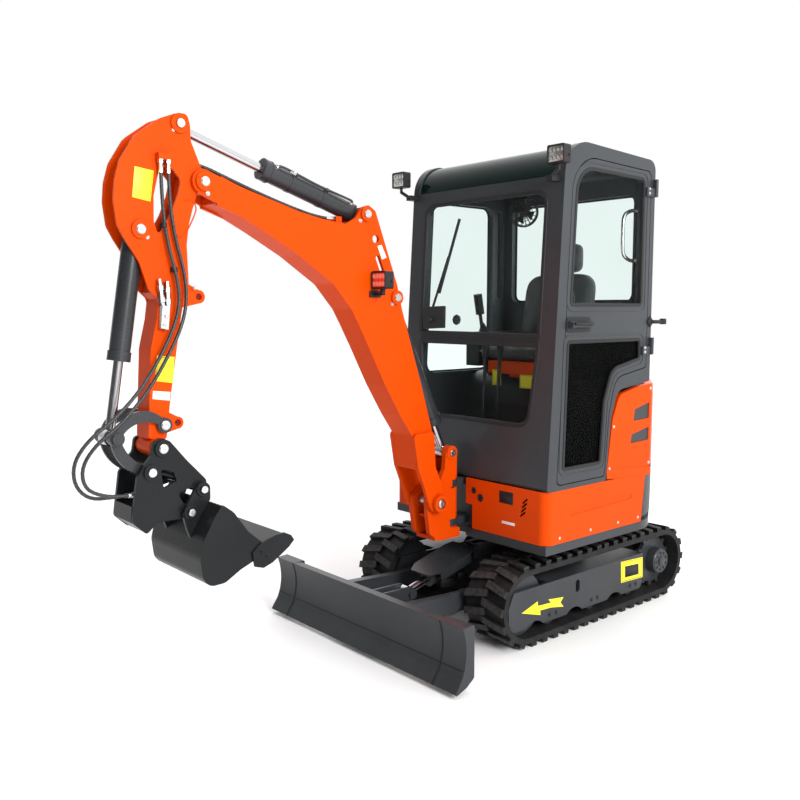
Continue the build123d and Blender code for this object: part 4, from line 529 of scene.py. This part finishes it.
# Hoses: routes as in the part's source
HOSE_SIDES = 14
GUARD_RADIUS, GUARD_RISE, GUARD_PITCH = 0.00622, 0.00028, 0.017
HITCH_HOSES = [
    [(2050, 119, 2010), (2050, 119, 1860), (2030, 121, 1715), (2000, 126, 1602), (2000, 132, 1500), (2056, 138, 1378),
     (2148, 142, 1240), (2248, 142, 1140), (2334, 132, 1080), (2384, 112, 1003), (2376, 94, 922), (2322, 80, 866),
     (2240, 80, 862), (2156, 80, 862)],
    [(2022, 119, 2010), (2022, 119, 1880), (2004, 119, 1750), (1974, 121, 1640), (1968, 128, 1540), (1996, 136, 1440),
     (2068, 142, 1316), (2140, 142, 1212), (2234, 142, 1116), (2314, 132, 1058), (2360, 118, 985), (2348, 108, 912),
     (2290, 104, 878), (2222, 104, 866), (2156, 104, 866)],
]
BOOM_HOSES = [
    [(1290, 78, 1864), (1360, 78, 1864), (1500, 78, 1896), (1640, 78, 1936), (1770, 78, 1978), (1870, 76, 2012),
     (1950, 74, 2021), (2011, 74, 2021)],
    [(1290, 36, 1864), (1364, 36, 1864), (1506, 34, 1898), (1648, 34, 1940), (1774, 34, 1982), (1872, 36, 2014),
     (1950, 38, 2021), (2011, 38, 2021)],
]


def smooth_line(name, route):
    """Points of the smooth curve that a route of places leads."""
    curve = bpy.data.curves.new(f"{name}_line", "CURVE")
    curve.dimensions = "3D"
    curve.resolution_u = 36
    spline = curve.splines.new("NURBS")
    spline.points.add(len(route) - 1)
    for point, place in zip(spline.points, route):
        point.co = (*at(*place), 1)
    spline.order_u = 3
    spline.use_endpoint_u = True
    line = bpy.data.objects.new(f"{name}_line", curve)
    bpy.context.scene.collection.objects.link(line)
    bpy.context.view_layer.update()
    path = [v.co.copy() for v in bpy.data.meshes.new_from_object(line).vertices]
    bpy.data.objects.remove(line)
    return path


def hose(name, route):
    """Hose in a spiral guard along the smooth line of its route."""
    path = smooth_line(name, route)
    bm = bmesh.new()
    rings, side, gone = [], None, 0.0
    for k, p in enumerate(path):
        run = (path[min(k + 1, len(path) - 1)] - path[max(k - 1, 0)]).normalized()
        side = run.orthogonal() if side is None else side - run * side.dot(run)
        side = side.normalized()
        other_side = run.cross(side)
        gone += (p - path[k - 1]).length if k else 0
        ring = []
        for i in range(HOSE_SIDES):
            angle = 2 * pi * i / HOSE_SIDES
            guard = GUARD_RADIUS + GUARD_RISE * max(-0.6, sin(2 * pi * gone / GUARD_PITCH + angle))
            ring.append(bm.verts.new(p + (side * cos(angle) + other_side * sin(angle)) * guard))
        rings.append(ring)
    for a, b in zip(rings, rings[1:]):
        for i in range(HOSE_SIDES):
            j = (i + 1) % HOSE_SIDES
            bm.faces.new((a[i], a[j], b[j], b[i]))
    bm.faces.new(rings[0][::-1])
    bm.faces.new(rings[-1])
    piece = formed(name, bm, FINISH["hose_rubber"])
    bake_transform(piece)
    return piece


# Name, node, routes, the two bodies, lengths in metres, and where the bend from one body to the other starts and ends
HOSE_SETS = (("hitch_hose", "hitch_hoses", HITCH_HOSES, "arm", "bucket", (1.472, 1.437),
              (2000, 119, 1300), (2200, 90, 960)),
             ("boom_hose", "boom_hoses", BOOM_HOSES, "boom", "arm", (0.742, 0.743),
              (1830, 78, 1995), (1960, 76, 2022)))
for name, node, routes, body, other, lengths, start, end in HOSE_SETS:
    made = [hose(f"{name}_{k + 1}", route) for k, route in enumerate(routes)]
    for piece in made:
        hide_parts(node)

# Fittings at the hoses' ends, each a profile of (distance, radius) pairs
LONG = [(0, 11), (11, 11), (12, 9), (14, 9), (15, 8.6), (44, 8.2), (45, 7)]
ferrules = Kit("arm_hose_fittings", "arm", ZINC)
for route in HITCH_HOSES:
    ferrules.turned(at(*route[0]), (0, 0, -1), LONG, 6)
for route in BOOM_HOSES:
    ferrules.turned(at(*route[-1]), -FORWARD, [(0, 10), (11, 10), (12, 8.5), (38, 8), (39, 7)], 6)
ferrules.done()
ferrules = Kit("boom_hose_fittings", "boom", ZINC)
for route in BOOM_HOSES:
    ferrules.turned(at(*route[0]), FORWARD, [(0, 9.6), (11, 9.6), (12, 8.4), (38, 8), (39, 7)], 6)
ferrules.done()
ferrules = Kit("hitch_hose_fittings", "bucket", ZINC)
for route in HITCH_HOSES:
    ferrules.turned(at(*route[-1]), FORWARD, [(0, 10.5), (11, 10.5), (12, 8.6), (40, 8.1), (41, 7)], 6)
ferrules.done()

# Pins, caps and bolts of the front, as (x, z) places, reach from the middle plane and radius
ARM_SIDE, BOOM_SIDE = HOUSE_Y + 48, HOUSE_Y + 65
PIN_RADIUS = 15.5
PIN_FACE = [(-1, 15.5), (3.0, 15.5), (4.2, 14.0), (4.2, 5.0), (3.2, 4.2), (3.2, 0.3)]
PINS = {
    "boom": [((760, 632), 110, 20.5), ((994, 1552), 80, 15.5), ((1156, 1889), 80, 15.5), ((1888, 1951), 78, 15.5)],
    "arm": [((1968, 2142), 59, 15.5), ((2123, 1773), 59, 15.5), ((2061, 1100), 73, 15.5), ((2082, 1022), 96, 15.5)],
    "bucket": [((2126, 943), 95, 15.5), ((1940, 862), 113, 13.5), ((1991, 786), 113, 13.5)],
    "swing_post": [((655, 848), 70, 15.5)],
}
for body, places in PINS.items():
    caps = Kit(f"{body}_pin_faces", body, ZINC)
    for (x, z), reach, radius in places:
        profile = [(along, r * radius / PIN_RADIUS) for along, r in PIN_FACE]
        for side in (1, -1):
            caps.turned(at(x, HOUSE_Y + side * reach, z), (0, side, 0), profile, 36)
    caps.done()

keepers = Kit("front_keeper_bolts", "boom", ZINC)
for x, z in ((1874, 1911), (1186, 1862), (1016, 1526)):
    keepers.bolt(at(x, BOOM_SIDE, z), LEFT, 6.5)
keepers.done()
keepers = Kit("arm_keeper_bolts", "arm", ZINC)
for x, z in ((1990, 2118), (2098, 1748), (1924, 1580), (1960, 1570)):
    keepers.bolt(at(x, ARM_SIDE, z), LEFT, 5.5)
keepers.done()


# Labels, all left blank
LABEL_THICK = 0.5


def label(name, body, outline, normal, finish, rim=None):
    """Blank sticker on a flat outline, with a dark line inside its edge where rim gives its width."""
    Kit(name, body, finish).slab(outline, normal, LABEL_THICK).done()
    if rim:
        middle = sum(outline, Vector()) / len(outline)
        lines = Kit(f"{name}_rim", body, SEAL)
        loop = [middle + (p - middle) * 0.9 + Vector(normal) * 0.0005 for p in outline]
        dense = []
        for p, q in zip(loop, loop[1:] + loop[:1]):
            dense += [p.lerp(q, t / 5) for t in range(5)]
        lines.strip(dense, normal, rim, 0.25).done()


ARM_FACE, BOOM_FACE, SKIRT_FACE, GUARD_FACE = HOUSE_Y + 48.3, HOUSE_Y + 65.3, 562.3, 461.3
label("arm_label_upper", "arm", beside([(2136, 1980), (2068, 1972), (2083, 1868), (2148, 1878)], ARM_FACE),
      LEFT, YELLOW, 1.6)
label("arm_label_lower", "arm", shown([(157, 355.5), (174.5, 357), (173, 383), (155, 381)], ARM_FACE),
      LEFT, YELLOW, 1.6)
label("arm_label_white", "arm", shown([(153, 391), (170.5, 392), (169.5, 400.5), (152.5, 399)], ARM_FACE),
      LEFT, WHITE)
label("boom_label", "boom", shown([(377.5, 246), (381.5, 245), (386.5, 257.5), (382, 259.5)], BOOM_FACE),
      LEFT, WHITE)
label("skirt_plate", "house", across([(329, 694), (410, 694), (410, 639), (329, 639)], SKIRT_FACE),
      FORWARD, FINISH["black_plastic"], 2.0)
label("skirt_label", "house", across([(346, 559), (423, 559), (423, 547), (346, 547)], SKIRT_FACE), FORWARD, WHITE)
ARROW = [(521.5, 613.5), (537.5, 601.5), (538, 606), (551, 602.5), (548.5, 599.5), (563.5, 597), (560.5, 602.5),
         (563.5, 606.5), (551, 607.5), (540, 610.5), (540.5, 615)]
Kit("guard_arrow", "undercarriage", YELLOW).slab(shown(ARROW, GUARD_FACE), LEFT, LABEL_THICK).done()
label("guard_plate", "undercarriage", shown([(621, 562), (642.5, 557), (642.5, 577), (621, 583)], GUARD_FACE),
      LEFT, YELLOW, 3.0)
Kit("guard_plate_middle", "undercarriage", FINISH["black_plastic"]).slab(
    shown([(625, 566.5), (638.5, 563.5), (638.5, 574), (625, 577.5)], GUARD_FACE + 0.5), LEFT, 0.4).done()

# Undercarriage fasteners: on the guards, the sprockets' hubs and the idlers' hubs
GUARD_SIDE, SPROCKET_SIDE, IDLER_SIDE, BOLT_CIRCLE = 461, 480, 444.6, 44
for side, name in ((1, "left"), (-1, "right")):
    outward = LEFT * side
    bolts = Kit(f"guard_bolts_{name}", "undercarriage", FINISH["frame_black"])
    for x in (329, 13, -309):
        for dx in (-24, 24):
            bolts.bolt(at(x + dx, side * GUARD_SIDE, 104), outward, 8)
    for k in range(9):
        a = 2 * pi * k / 9
        place = at(-AXLE_X + BOLT_CIRCLE * cos(a), side * SPROCKET_SIDE, AXLE_Z + BOLT_CIRCLE * sin(a))
        bolts.bolt(place, outward, 6.5)
    bolts.turned(at(-AXLE_X, side * SPROCKET_SIDE, AXLE_Z), outward, [(-1, 26), (5, 26), (9, 18), (9, 1)], 36)
    bolts.turned(at(AXLE_X, side * IDLER_SIDE, AXLE_Z), outward, [(-1, 38), (6, 38), (10, 30), (10, 1)], 36)
    bolts.done()

# Cab: seals, door fittings and grab bar, on the door's, the right side's and the rear's planes
DOOR_FACE, RIGHT_FACE, REAR_FACE = 600, -340, -185
UPPER = even(rounded([(-240, 1389), (508, 1389), (508, 2002), (-240, 2002)], [10, 10, 54, 54]))
LOWER = even(rounded([(-206, 996), (474, 996), (508, 1349), (-240, 1349)], [64, 64, 10, 10]))
seal = Kit("windscreen_seals", "house", SEAL)
for loop in (UPPER, LOWER):
    seal.strip([front(y, z, 0.4) for y, z in loop], OUT, 22, 2.6)
CROSSBAR = even([(-236, 1362), (504, 1362), (504, 1376), (-236, 1376)])
seal.strip([front(y, z, 0.4) for y, z in CROSSBAR], OUT, 12, 2.2)
seal.done()
DOOR_UPPER = even(rounded([(424, 1522), (392, 2104), (-100, 2096), (-100, 1522)], [16, 110, 20, 16]))
DOOR_LOWER = even(rounded([(456, 812), (438, 1363), (-98, 1363), (-98, 1272), (112, 1232), (168, 1090), (188, 812)],
                          [16, 16, 14, 12, 80, 60, 16]))
seal = Kit("door_seals", "door", SEAL)
for loop in (DOOR_UPPER, DOOR_LOWER):
    seal.strip(beside(loop, DOOR_FACE), LEFT, 18, 2.4)
seal.done()
SIDE_WINDOWS = (([(420, 1180), (372, 2040), (-60, 2040), (-60, 1180)], [50] * 4),
                ([(-100, 1560), (-100, 2030), (-141, 2024), (-141, 1560)], [14] * 4))
seal = Kit("side_seals", "house", SEAL)
for points, radii in SIDE_WINDOWS:
    seal.strip(beside(even(rounded(points, radii)), RIGHT_FACE), -LEFT, 16, 2.2)
REAR = even(rounded([(-250, 1540), (510, 1540), (510, 2040), (-250, 2040)], [40] * 4))
seal.strip(across(REAR, REAR_FACE), -FORWARD, 18, 2.2)
seal.done()

fitting = Kit("door_fittings", "door", FINISH["black_plastic"])
plate = rounded([(284, 1404), (456, 1404), (456, 1470), (284, 1470)], [20] * 4)
fitting.slab(beside(plate, DOOR_FACE), LEFT, 4)
fitting.turned(at(330, 603, 1437), LEFT, [(0, 13), (8, 13), (11, 10), (11, 1)], 28)
fitting.tube(flowing([at(300, 626, 1440), at(330, 634, 1440), at(390, 636, 1441), at(430, 630, 1442)]), 7)
fitting.done()
lock = Kit("door_lock", "door", ZINC)
lock.turned(at(330, 613, 1437), LEFT, [(0, 6), (2, 6), (2.6, 5), (2.6, 0.5)], 24)
for low in (1290, 2020):
    for dz in (14, 34):
        lock.bolt(at(-122, 612, low + dz), LEFT, 5)
lock.done()
catch = Kit("door_catch", "house", FINISH["black_plastic"])
catch.tube(flowing([at(-176, 600, 1444), at(-186, 618, 1444), at(-205, 626, 1444), at(-240, 628, 1446)]), 9)
catch.turned(at(-240, 628, 1432), (0, 0, 1), [(0, 14), (3, 16), (24, 16), (27, 13)], 24)
catch.turned(at(-172, 600, 1444), LEFT, [(-2, 26), (5, 26), (8, 22)], 4, 0.5)
catch.done()
bar = Kit("door_grab_bar", "door", ZINC)
bar.tube(flowing([at(-125, 567, 1960), at(-124, 540, 1960), at(-98, 528, 1958), at(-52, 526, 1930), at(-44, 526, 1850),
                  at(-52, 526, 1762), at(-98, 528, 1732), at(-124, 540, 1730), at(-125, 567, 1730)]), 9)
bar.done()

# Fan, lever boots and labels inside the cab
SEAT_Y = HOUSE_Y + 75
fan = Kit("cab_fan", "house", FINISH["black_plastic"])
hub = at(300, 219, 1950)
aim = Vector((0.8, 0.55, -0.1)).normalized()
across_fan = aim.orthogonal().normalized()
upright = aim.cross(across_fan)
FAN_RINGS = ((-20, 60, 1.5), (-20, 30, 1.5), (14, 60, 1.5), (14, 42, 1.5), (14, 24, 1.5), (-3, 66, 3.6))
for depth, radius, thick in FAN_RINGS:
    loop = [hub + aim * depth / 1000 + (across_fan * cos(a) + upright * sin(a)) * radius / 1000
            for a in [2 * pi * k / 40 for k in range(40)]]
    fan.tube(loop, thick, 8, closed=True)
for k in range(18):
    a = 2 * pi * k / 18
    ray = across_fan * cos(a) + upright * sin(a)
    fan.tube([hub + aim * 0.014 + ray * 0.012, hub + aim * 0.014 + ray * 0.06, hub - aim * 0.003 + ray * 0.066,
              hub - aim * 0.02 + ray * 0.06, hub - aim * 0.02 + ray * 0.02], 1.4, 6)
for k in range(4):
    a = 2 * pi * k / 4
    ray, tip = across_fan * cos(a) + upright * sin(a), across_fan * cos(a + 0.9) + upright * sin(a + 0.9)
    blade = [hub + ray * 0.012 - aim * 0.006, hub + ray * 0.052 - aim * 0.008, hub + tip * 0.054 + aim * 0.006,
             hub + tip * 0.014 + aim * 0.003]
    fan.slab(blade, aim, 1.2)
fan.turned(hub - aim * 0.062, aim, [(0, 20), (8, 25), (40, 25), (50, 16), (70, 14), (74, 8)], 28)
stem = [hub - aim * 0.04, hub - aim * 0.05 + Vector((0, 0, 0.05)), at(262, 200, 2056), at(262, 200, 2160)]
fan.tube(flowing(stem), 7)
fan.done()
boots = Kit("lever_boots", "house", SEAL)
for y in (SEAT_Y - 290, SEAT_Y + 290):
    start, run = at(158, y, 1384), (at(190, y, 1498) - at(160, y, 1348)).normalized()
    profile = []
    for k in range(7):
        profile += [(k * 7, 30 - k * 3), (k * 7 + 3, 26 - k * 3)]
    boots.turned(start, run, profile + [(50, 9.4)], 24)
for offset in (-45, 45):
    profile = []
    for k in range(8):
        profile += [(k * 7, 32 - k * 2.8), (k * 7 + 3, 28 - k * 2.8)]
    boots.turned(at(431, SEAT_Y + offset, 796), (-0.05, 0, 1), profile + [(58, 9.2)], 24)
boots.done()
for k, (low, high, bottom, top) in enumerate(((-12, 46, 1130, 1206), (168, 246, 1126, 1190))):
    corners = [(low, top), (high, top), (high, bottom), (low, bottom)]
    label(f"seat_base_label_{k + 1}", "house", across(corners, 250.2), FORWARD, YELLOW, 1.6)


# Seat
def pad(name, low, high, thick, lean=(0.0, 0.0), channels=()):
    """Crowned cushion inside a box, with its front sewn down along the channels."""
    bm = bmesh.new()
    bmesh.ops.create_cube(bm, size=2)
    bmesh.ops.subdivide_edges(bm, edges=bm.edges[:], cuts=27, use_grid_fill=True)
    middle = (Vector(low) + Vector(high)) / 2
    half = (Vector(high) - Vector(low)) / 2 - Vector((2, 2, 2))
    for v in bm.verts:
        p = v.co.copy()
        power = [5.0, 5.0, 5.0]
        power[thick] = 3.2
        size = sum(abs(c) ** e for c, e in zip(p, power)) ** (1 / 4.6)
        p = p / max(size, 1.0)
        crown = (1 - abs(p.y) ** 2) * (1 - abs(p[2 - thick]) ** 2)
        sag = sum(exp(-((p.y - c) / 0.035) ** 2) for c in channels) * (1 if p[thick] > 0 else 0)
        p[thick] *= 0.86 + 0.12 * crown - 0.10 * min(sag, 1)
        place = middle + Vector(c * h for c, h in zip(p, half))
        place.x += lean[0] + (lean[1] - lean[0]) * (p.z + 1) / 2
        v.co = at(*place)
    piece = formed(name, bm, FINISH["seat_cover"])
    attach(piece, "house")
    return piece


cushion = pad("seat_cushion_pad", (-60, -95, 1252), (300, 355, 1342), 2, channels=(-0.5, 0.0, 0.5))
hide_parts("seat_cushion")
backrest = pad("seat_back_pad", (-92, -85, 1343), (-10, 345, 1680), 0, lean=(0, -50), channels=(-0.45, 0.45))
headrest = pad("seat_head_pad", (-143, 10, 1681), (-72, 250, 1830), 0)
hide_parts("seat_back")
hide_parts("seat_back")
SEAM_Z = 1297
piping = Kit("seat_piping", "house", FINISH["seat_cover"])
loop = even(rounded([(-52, -88), (292, -88), (292, 348), (-52, 348)], [50] * 4))
piping.tube([at(x, y, SEAM_Z) for x, y in loop], 3.0, 8, closed=True)
piping.done()

# Lamps: middle of each housing, cups in two rows of four on a reflector, and a rim
CUP = [(0, 9.4), (1.2, 9.4), (1.2, 7.6), (0.5, 3.4), (0.9, 2.8), (0.9, 0.3)]


def frame_of(y, z, half_y, half_z):
    """Corners of a rectangle about a place, from half its width and half its height."""
    return [(y - half_y, z - half_z), (y + half_y, z - half_z), (y + half_y, z + half_z), (y - half_y, z + half_z)]


for name, body, (x, y, z), finish in (("cab_lamp_left", "house", (524, 600, 2138), MIRROR),
                                      ("cab_lamp_right", "house", (524, -385, 2138), MIRROR),
                                      ("boom_lamp_cups", "boom", (1112, 171, 1622), AMBER)):
    back = Kit(f"{name}_back", body, WARM if finish is AMBER else REFLECTOR)
    back.slab(across(rounded(frame_of(y, z, 43, 33), [7] * 4), x + 19.2), FORWARD, 0.9)
    for row in (-1, 0, 1):
        back.slab(across(frame_of(y, z + row * 32, 42, 0.8), x + 20), FORWARD, 1.2)
    back.done()
    cups = Kit(name, body, finish)
    for row in (-1, 1):
        for column in range(4):
            cups.turned(at(x + 20, y + (column - 1.5) * 20, z + row * 15.5), FORWARD, CUP, 20)
    cups.done()
    rim = Kit(f"{name}_rim", body, FINISH["black_plastic"])
    rim.strip(across(even(rounded(frame_of(y, z, 42, 35), [7] * 4), 20), x + 22), FORWARD, 5, 1.4)
    for side in (-1, 1):
        rim.bolt(at(x - 12, y + side * 45.22, z - 6), LEFT * side, 4)
    rim.done()


# Steel lines, clamps, nuts and bands on the cylinders
def dressed(name, body, base, rod_pin, barrel, length, side):
    """Steel line along a barrel of a radius and a length, with its bands, clamps and nuts."""
    a, b = Vector((base[0], HOUSE_Y, base[1])), Vector((rod_pin[0], HOUSE_Y, rod_pin[1]))
    run = (b - a).normalized()
    lift = (Vector((0, 0.8 * side, 0)) + Vector((-run.z, 0, run.x)) * 0.6).normalized()
    steel = Kit(f"{name}_line", body, FINISH["cylinder_black"])
    stops = ((62, -3), (66, 13), (96, 15), (length * 0.5, 9), (length - 72, 12), (length - 50, -3))
    line = [a + run * along + lift * (barrel + above) for along, above in stops]
    steel.tube([at(*p) for p in flowing(line)], 5.0)
    for share in (0.4, 0.72):
        ring = a + run * length * share
        steel.band(at(*ring), run, barrel - 1, barrel + 1.5, 16)
        steel.turned(at(*(ring + lift * (barrel - 2))), lift, [(0, 9), (15, 9), (17, 7)], 6)
    steel.band(at(*(a + run * (length - 33))), run, barrel - 1, barrel + 5.2, 6)
    steel.done()
    nuts = Kit(f"{name}_nuts", body, ZINC)
    for place in (a + run * 62, a + run * (length - 50)):
        nuts.turned(at(*(place + lift * (barrel - 4))), lift, [(0, 10), (9, 10), (10, 8), (15, 8)], 6)
    union = a + run * (length - 130) + lift * (barrel + 10.5)
    nuts.turned(at(*union), run, [(0, 8), (12, 8), (13, 6.6), (26, 6.6)], 6)
    nuts.done()


dressed("arm_cylinder", "arm_barrel", (1156, 1889), (1968, 2142), 38, 480, 1)
dressed("boom_cylinder", "boom_barrel", (994, 1552), (655, 848), 42, 628, -1)

# Quick couplers and valve on the arm's face
valve = Kit("arm_couplers", "arm", ZINC)
valve.slab(beside([(2062, 1520), (2034, 1512), (2042, 1432), (2070, 1438)], ARM_SIDE), LEFT, 26)
COUPLER = [(0, 9), (10, 9), (12, 12), (30, 12), (32, 9.5), (52, 9.5), (54, 12), (70, 12), (72, 8), (92, 8)]
for x, z, tilt in ((2056, 1516, 0.10), (2035, 1508, 0.02)):
    valve.turned(at(x, ARM_SIDE + 14, z), (tilt, 0, 1), COUPLER, 6)
valve.bolt(at(2050, ARM_SIDE + 26, 1480), LEFT, 7)
valve.bolt(at(2056, ARM_SIDE + 26, 1452), LEFT, 6)
valve.done()
clips = Kit("arm_hose_clips", "arm", FINISH["black_plastic"])
for x, y, z in ((2044, 119, 1790), (2009, 120, 1640)):
    clips.turned(at(x, y, z), (0, 0, 1), [(-9, 9.5), (-8, 10.5), (8, 10.5), (9, 9.5)], 24)
    clips.slab(beside(frame_of(x, z, 8, 8), ARM_SIDE - 1), LEFT, 10)
clips.done()

# Raised outline on the arm, trim of the body panels and the blade's weld beads
press = Kit("arm_pressed_line", "arm", FINISH["orange_paint"], "orange_paint")
press.tube(flowing(beside([(1957, 1880), (1928, 1883), (1914, 1848), (1961, 1761), (1988, 1756)], ARM_SIDE)), 2.6, 10)
press.done()
trim = Kit("skirt_fasteners", "house", FINISH["black_plastic"])
for y, z, radius in ((170, 668, 15), (212, 640, 18)):
    plug = [(0, radius - 2), (4, radius - 2), (4, radius), (7.5, radius), (8.5, radius - 1.5), (8.5, radius * 0.6),
            (6, radius * 0.55), (6, 0.5)]
    trim.turned(at(556, y, z), FORWARD, plug, 32)
trim.done()
studs = Kit("cowl_studs", "house", ZINC)
STUD = [(-1, 7), (1.6, 7), (2.8, 5), (2.8, 0.4)]
for x, z in ((-196, 770), (118, 776), (92, 968), (-196, 1128), (-120, 512), (40, 512), (250, 512), (470, 512)):
    studs.turned(at(x, DOOR_FACE, z), LEFT, STUD, 20)
studs.done()
beads = Kit("blade_welds", "blade", FINISH["tool_black"])
for side in (-1, 1):
    for face in (-20, 20):
        y = side * 205 + face
        beads.tube([at(1070 + 4 * (k % 2), y + (2 if face > 0 else -2), 112 + k * 5.2) for k in range(24)], 3.4, 8)
beads.done()

# Blade: seams of its wings and of its cutting edge
TOP, HOLLOW, FOOT, EDGE = (1111.0, 276.0), (1092.0, 165), (1114, 74), (1149.0, 25.0)
WING_Y = 515
face = arc(TOP, HOLLOW, FOOT)
seams = Kit("blade_seams", "blade", FINISH["black_plastic"])
for side in (1, -1):
    seams.tube(beside(face + [EDGE], side * WING_Y), 2.4, 8)
    seams.tube(beside(face + [EDGE], side * (WING_Y + 5)), 1.6, 8)
foot = min(face, key=lambda p: abs(p[1] - 96))
seams.tube([at(foot[0], y, foot[1]) for y in range(-640, 641, 80)], 2.0, 8)
seams.done()

# Side cutter on the bucket's left side plate
BUCKET_SIDE = HOUSE_Y + 195.0
CUTTER = [(251.5, 553), (258, 545), (265.5, 539.5), (274.5, 534.5), (283.5, 532), (290, 534.5), (293, 539), (288, 546),
          (280, 554), (271.5, 562), (262.5, 567.5), (254, 566.5)]
cutter = Kit("bucket_side_cutter", "bucket", FINISH["tool_black"])
cutter.slab(shown(CUTTER, BUCKET_SIDE), LEFT, 9)
for px, py in ((262, 551.5), (267.5, 556.5)):
    cutter.bolt(seen(px, py, BUCKET_SIDE + 9), LEFT, 7)
cutter.done(round_by=1.5)

# Wiper motor's cover and a clamp on the windscreen's plane, rims pressed into the door, sill under the cowl
FRONT = front(0, 1400, 0)
motor = Kit("wiper_motor_cover", "house", FINISH["black_plastic"])
COVER = ((425, 307), (446.5, 306), (446, 328), (425.5, 329))
motor.slab([met(px, py, FRONT, OUT) + OUT * 0.003 for px, py in COVER], OUT, 14)
motor.turned(met(433, 320, FRONT, OUT) + OUT * 0.016, OUT, [(0, 15), (8, 14), (16, 10), (16, 1)], 28)
motor.done(round_by=2.0)
clamp = Kit("windscreen_clamp", "house", FINISH["cab_grey"])
KNOB = [(0, 24), (6, 26), (12, 24), (12, 10), (15, 8), (15, 1)]
clamp.turned(met(453, 319.5, FRONT, OUT) - OUT * 0.03, OUT, KNOB, 8)
clamp.done(round_by=2.0)
rims = Kit("door_pressed_rims", "door", FINISH["cab_grey"], "cab_grey")
for points, radii in (([(452, 1496), (418, 2131), (-127, 2123), (-127, 1496)], [40, 132, 40, 30]),
                      ([(483, 785), (465, 1389), (-125, 1389), (-125, 1250), (92, 1209), (142, 1085), (161, 785)],
                       [40, 36, 30, 34, 60, 80, 40])):
    rims.strip(beside(even(rounded(points, radii)), DOOR_FACE), LEFT, 9, 2.2)
rims.done()
sill = Kit("cowl_sill", "house", FINISH["orange_paint"], "orange_paint")
sill.slab(shown([(606.5, 469.0), (650, 466.0), (650, 474.2), (606.5, 479.3)], DOOR_FACE + 0.2), LEFT, 2.0)
sill.done()

# Floor, light and background
bm = bmesh.new()
bmesh.ops.create_grid(bm, x_segments=8, y_segments=8, size=30)
mesh = bpy.data.meshes.new("floor")
bm.to_mesh(mesh)
bm.free()
floor = bpy.data.objects.new("floor", mesh)
floor.location.z = -0.0005
bpy.context.scene.collection.objects.link(floor)
mesh.materials.append(surface("floor_pale", (0.95, 0.95, 0.95), 0.6, vary=0.008, bump=0.02, edge=0))

world = bpy.data.worlds.new("studio")
bpy.context.scene.world = world
world.use_nodes = True
# Soft light all round, weaker from the machine's front, in front of a plain white background
nodes, links = world.node_tree.nodes, world.node_tree.links
sky, backdrop, chooser = nodes["Background"], nodes.new("ShaderNodeBackground"), nodes.new("ShaderNodeMixShader")
direction, parts = nodes.new("ShaderNodeTexCoord"), nodes.new("ShaderNodeSeparateXYZ")
fall = nodes.new("ShaderNodeMapRange")
links.new(direction.outputs["Generated"], parts.inputs[0])
links.new(parts.outputs["X"], fall.inputs["Value"])
for name, value in (("From Min", -0.25), ("From Max", 0.8), ("To Min", 1.7), ("To Max", 0.12)):
    fall.inputs[name].default_value = value
links.new(fall.outputs["Result"], sky.inputs["Strength"])
links.new(nodes.new("ShaderNodeLightPath").outputs["Is Camera Ray"], chooser.inputs["Fac"])
links.new(sky.outputs[0], chooser.inputs[1])
links.new(backdrop.outputs[0], chooser.inputs[2])
links.new(chooser.outputs[0], nodes["World Output"].inputs["Surface"])
sky.inputs["Color"].default_value = (1, 1, 1, 1)
backdrop.inputs["Color"].default_value = (1, 1, 1, 1)
backdrop.inputs["Strength"].default_value = 1.0

key = bpy.data.lights.new("key", "AREA")
key.shape, key.size, key.energy = "DISK", 2.6, 340
KEY_PLACE, KEY_TARGET = Vector((0.9, 6.0, 3.4)), Vector((0, 0, 0.9))
turned_to = (KEY_TARGET - KEY_PLACE).to_track_quat("-Z", "Y").to_matrix().to_4x4()
light = bpy.data.objects.new("key", key)
light.matrix_world = Matrix.Translation(KEY_PLACE) @ turned_to
bpy.context.scene.collection.objects.link(light)
bpy.context.scene.view_settings.view_transform = "Standard"
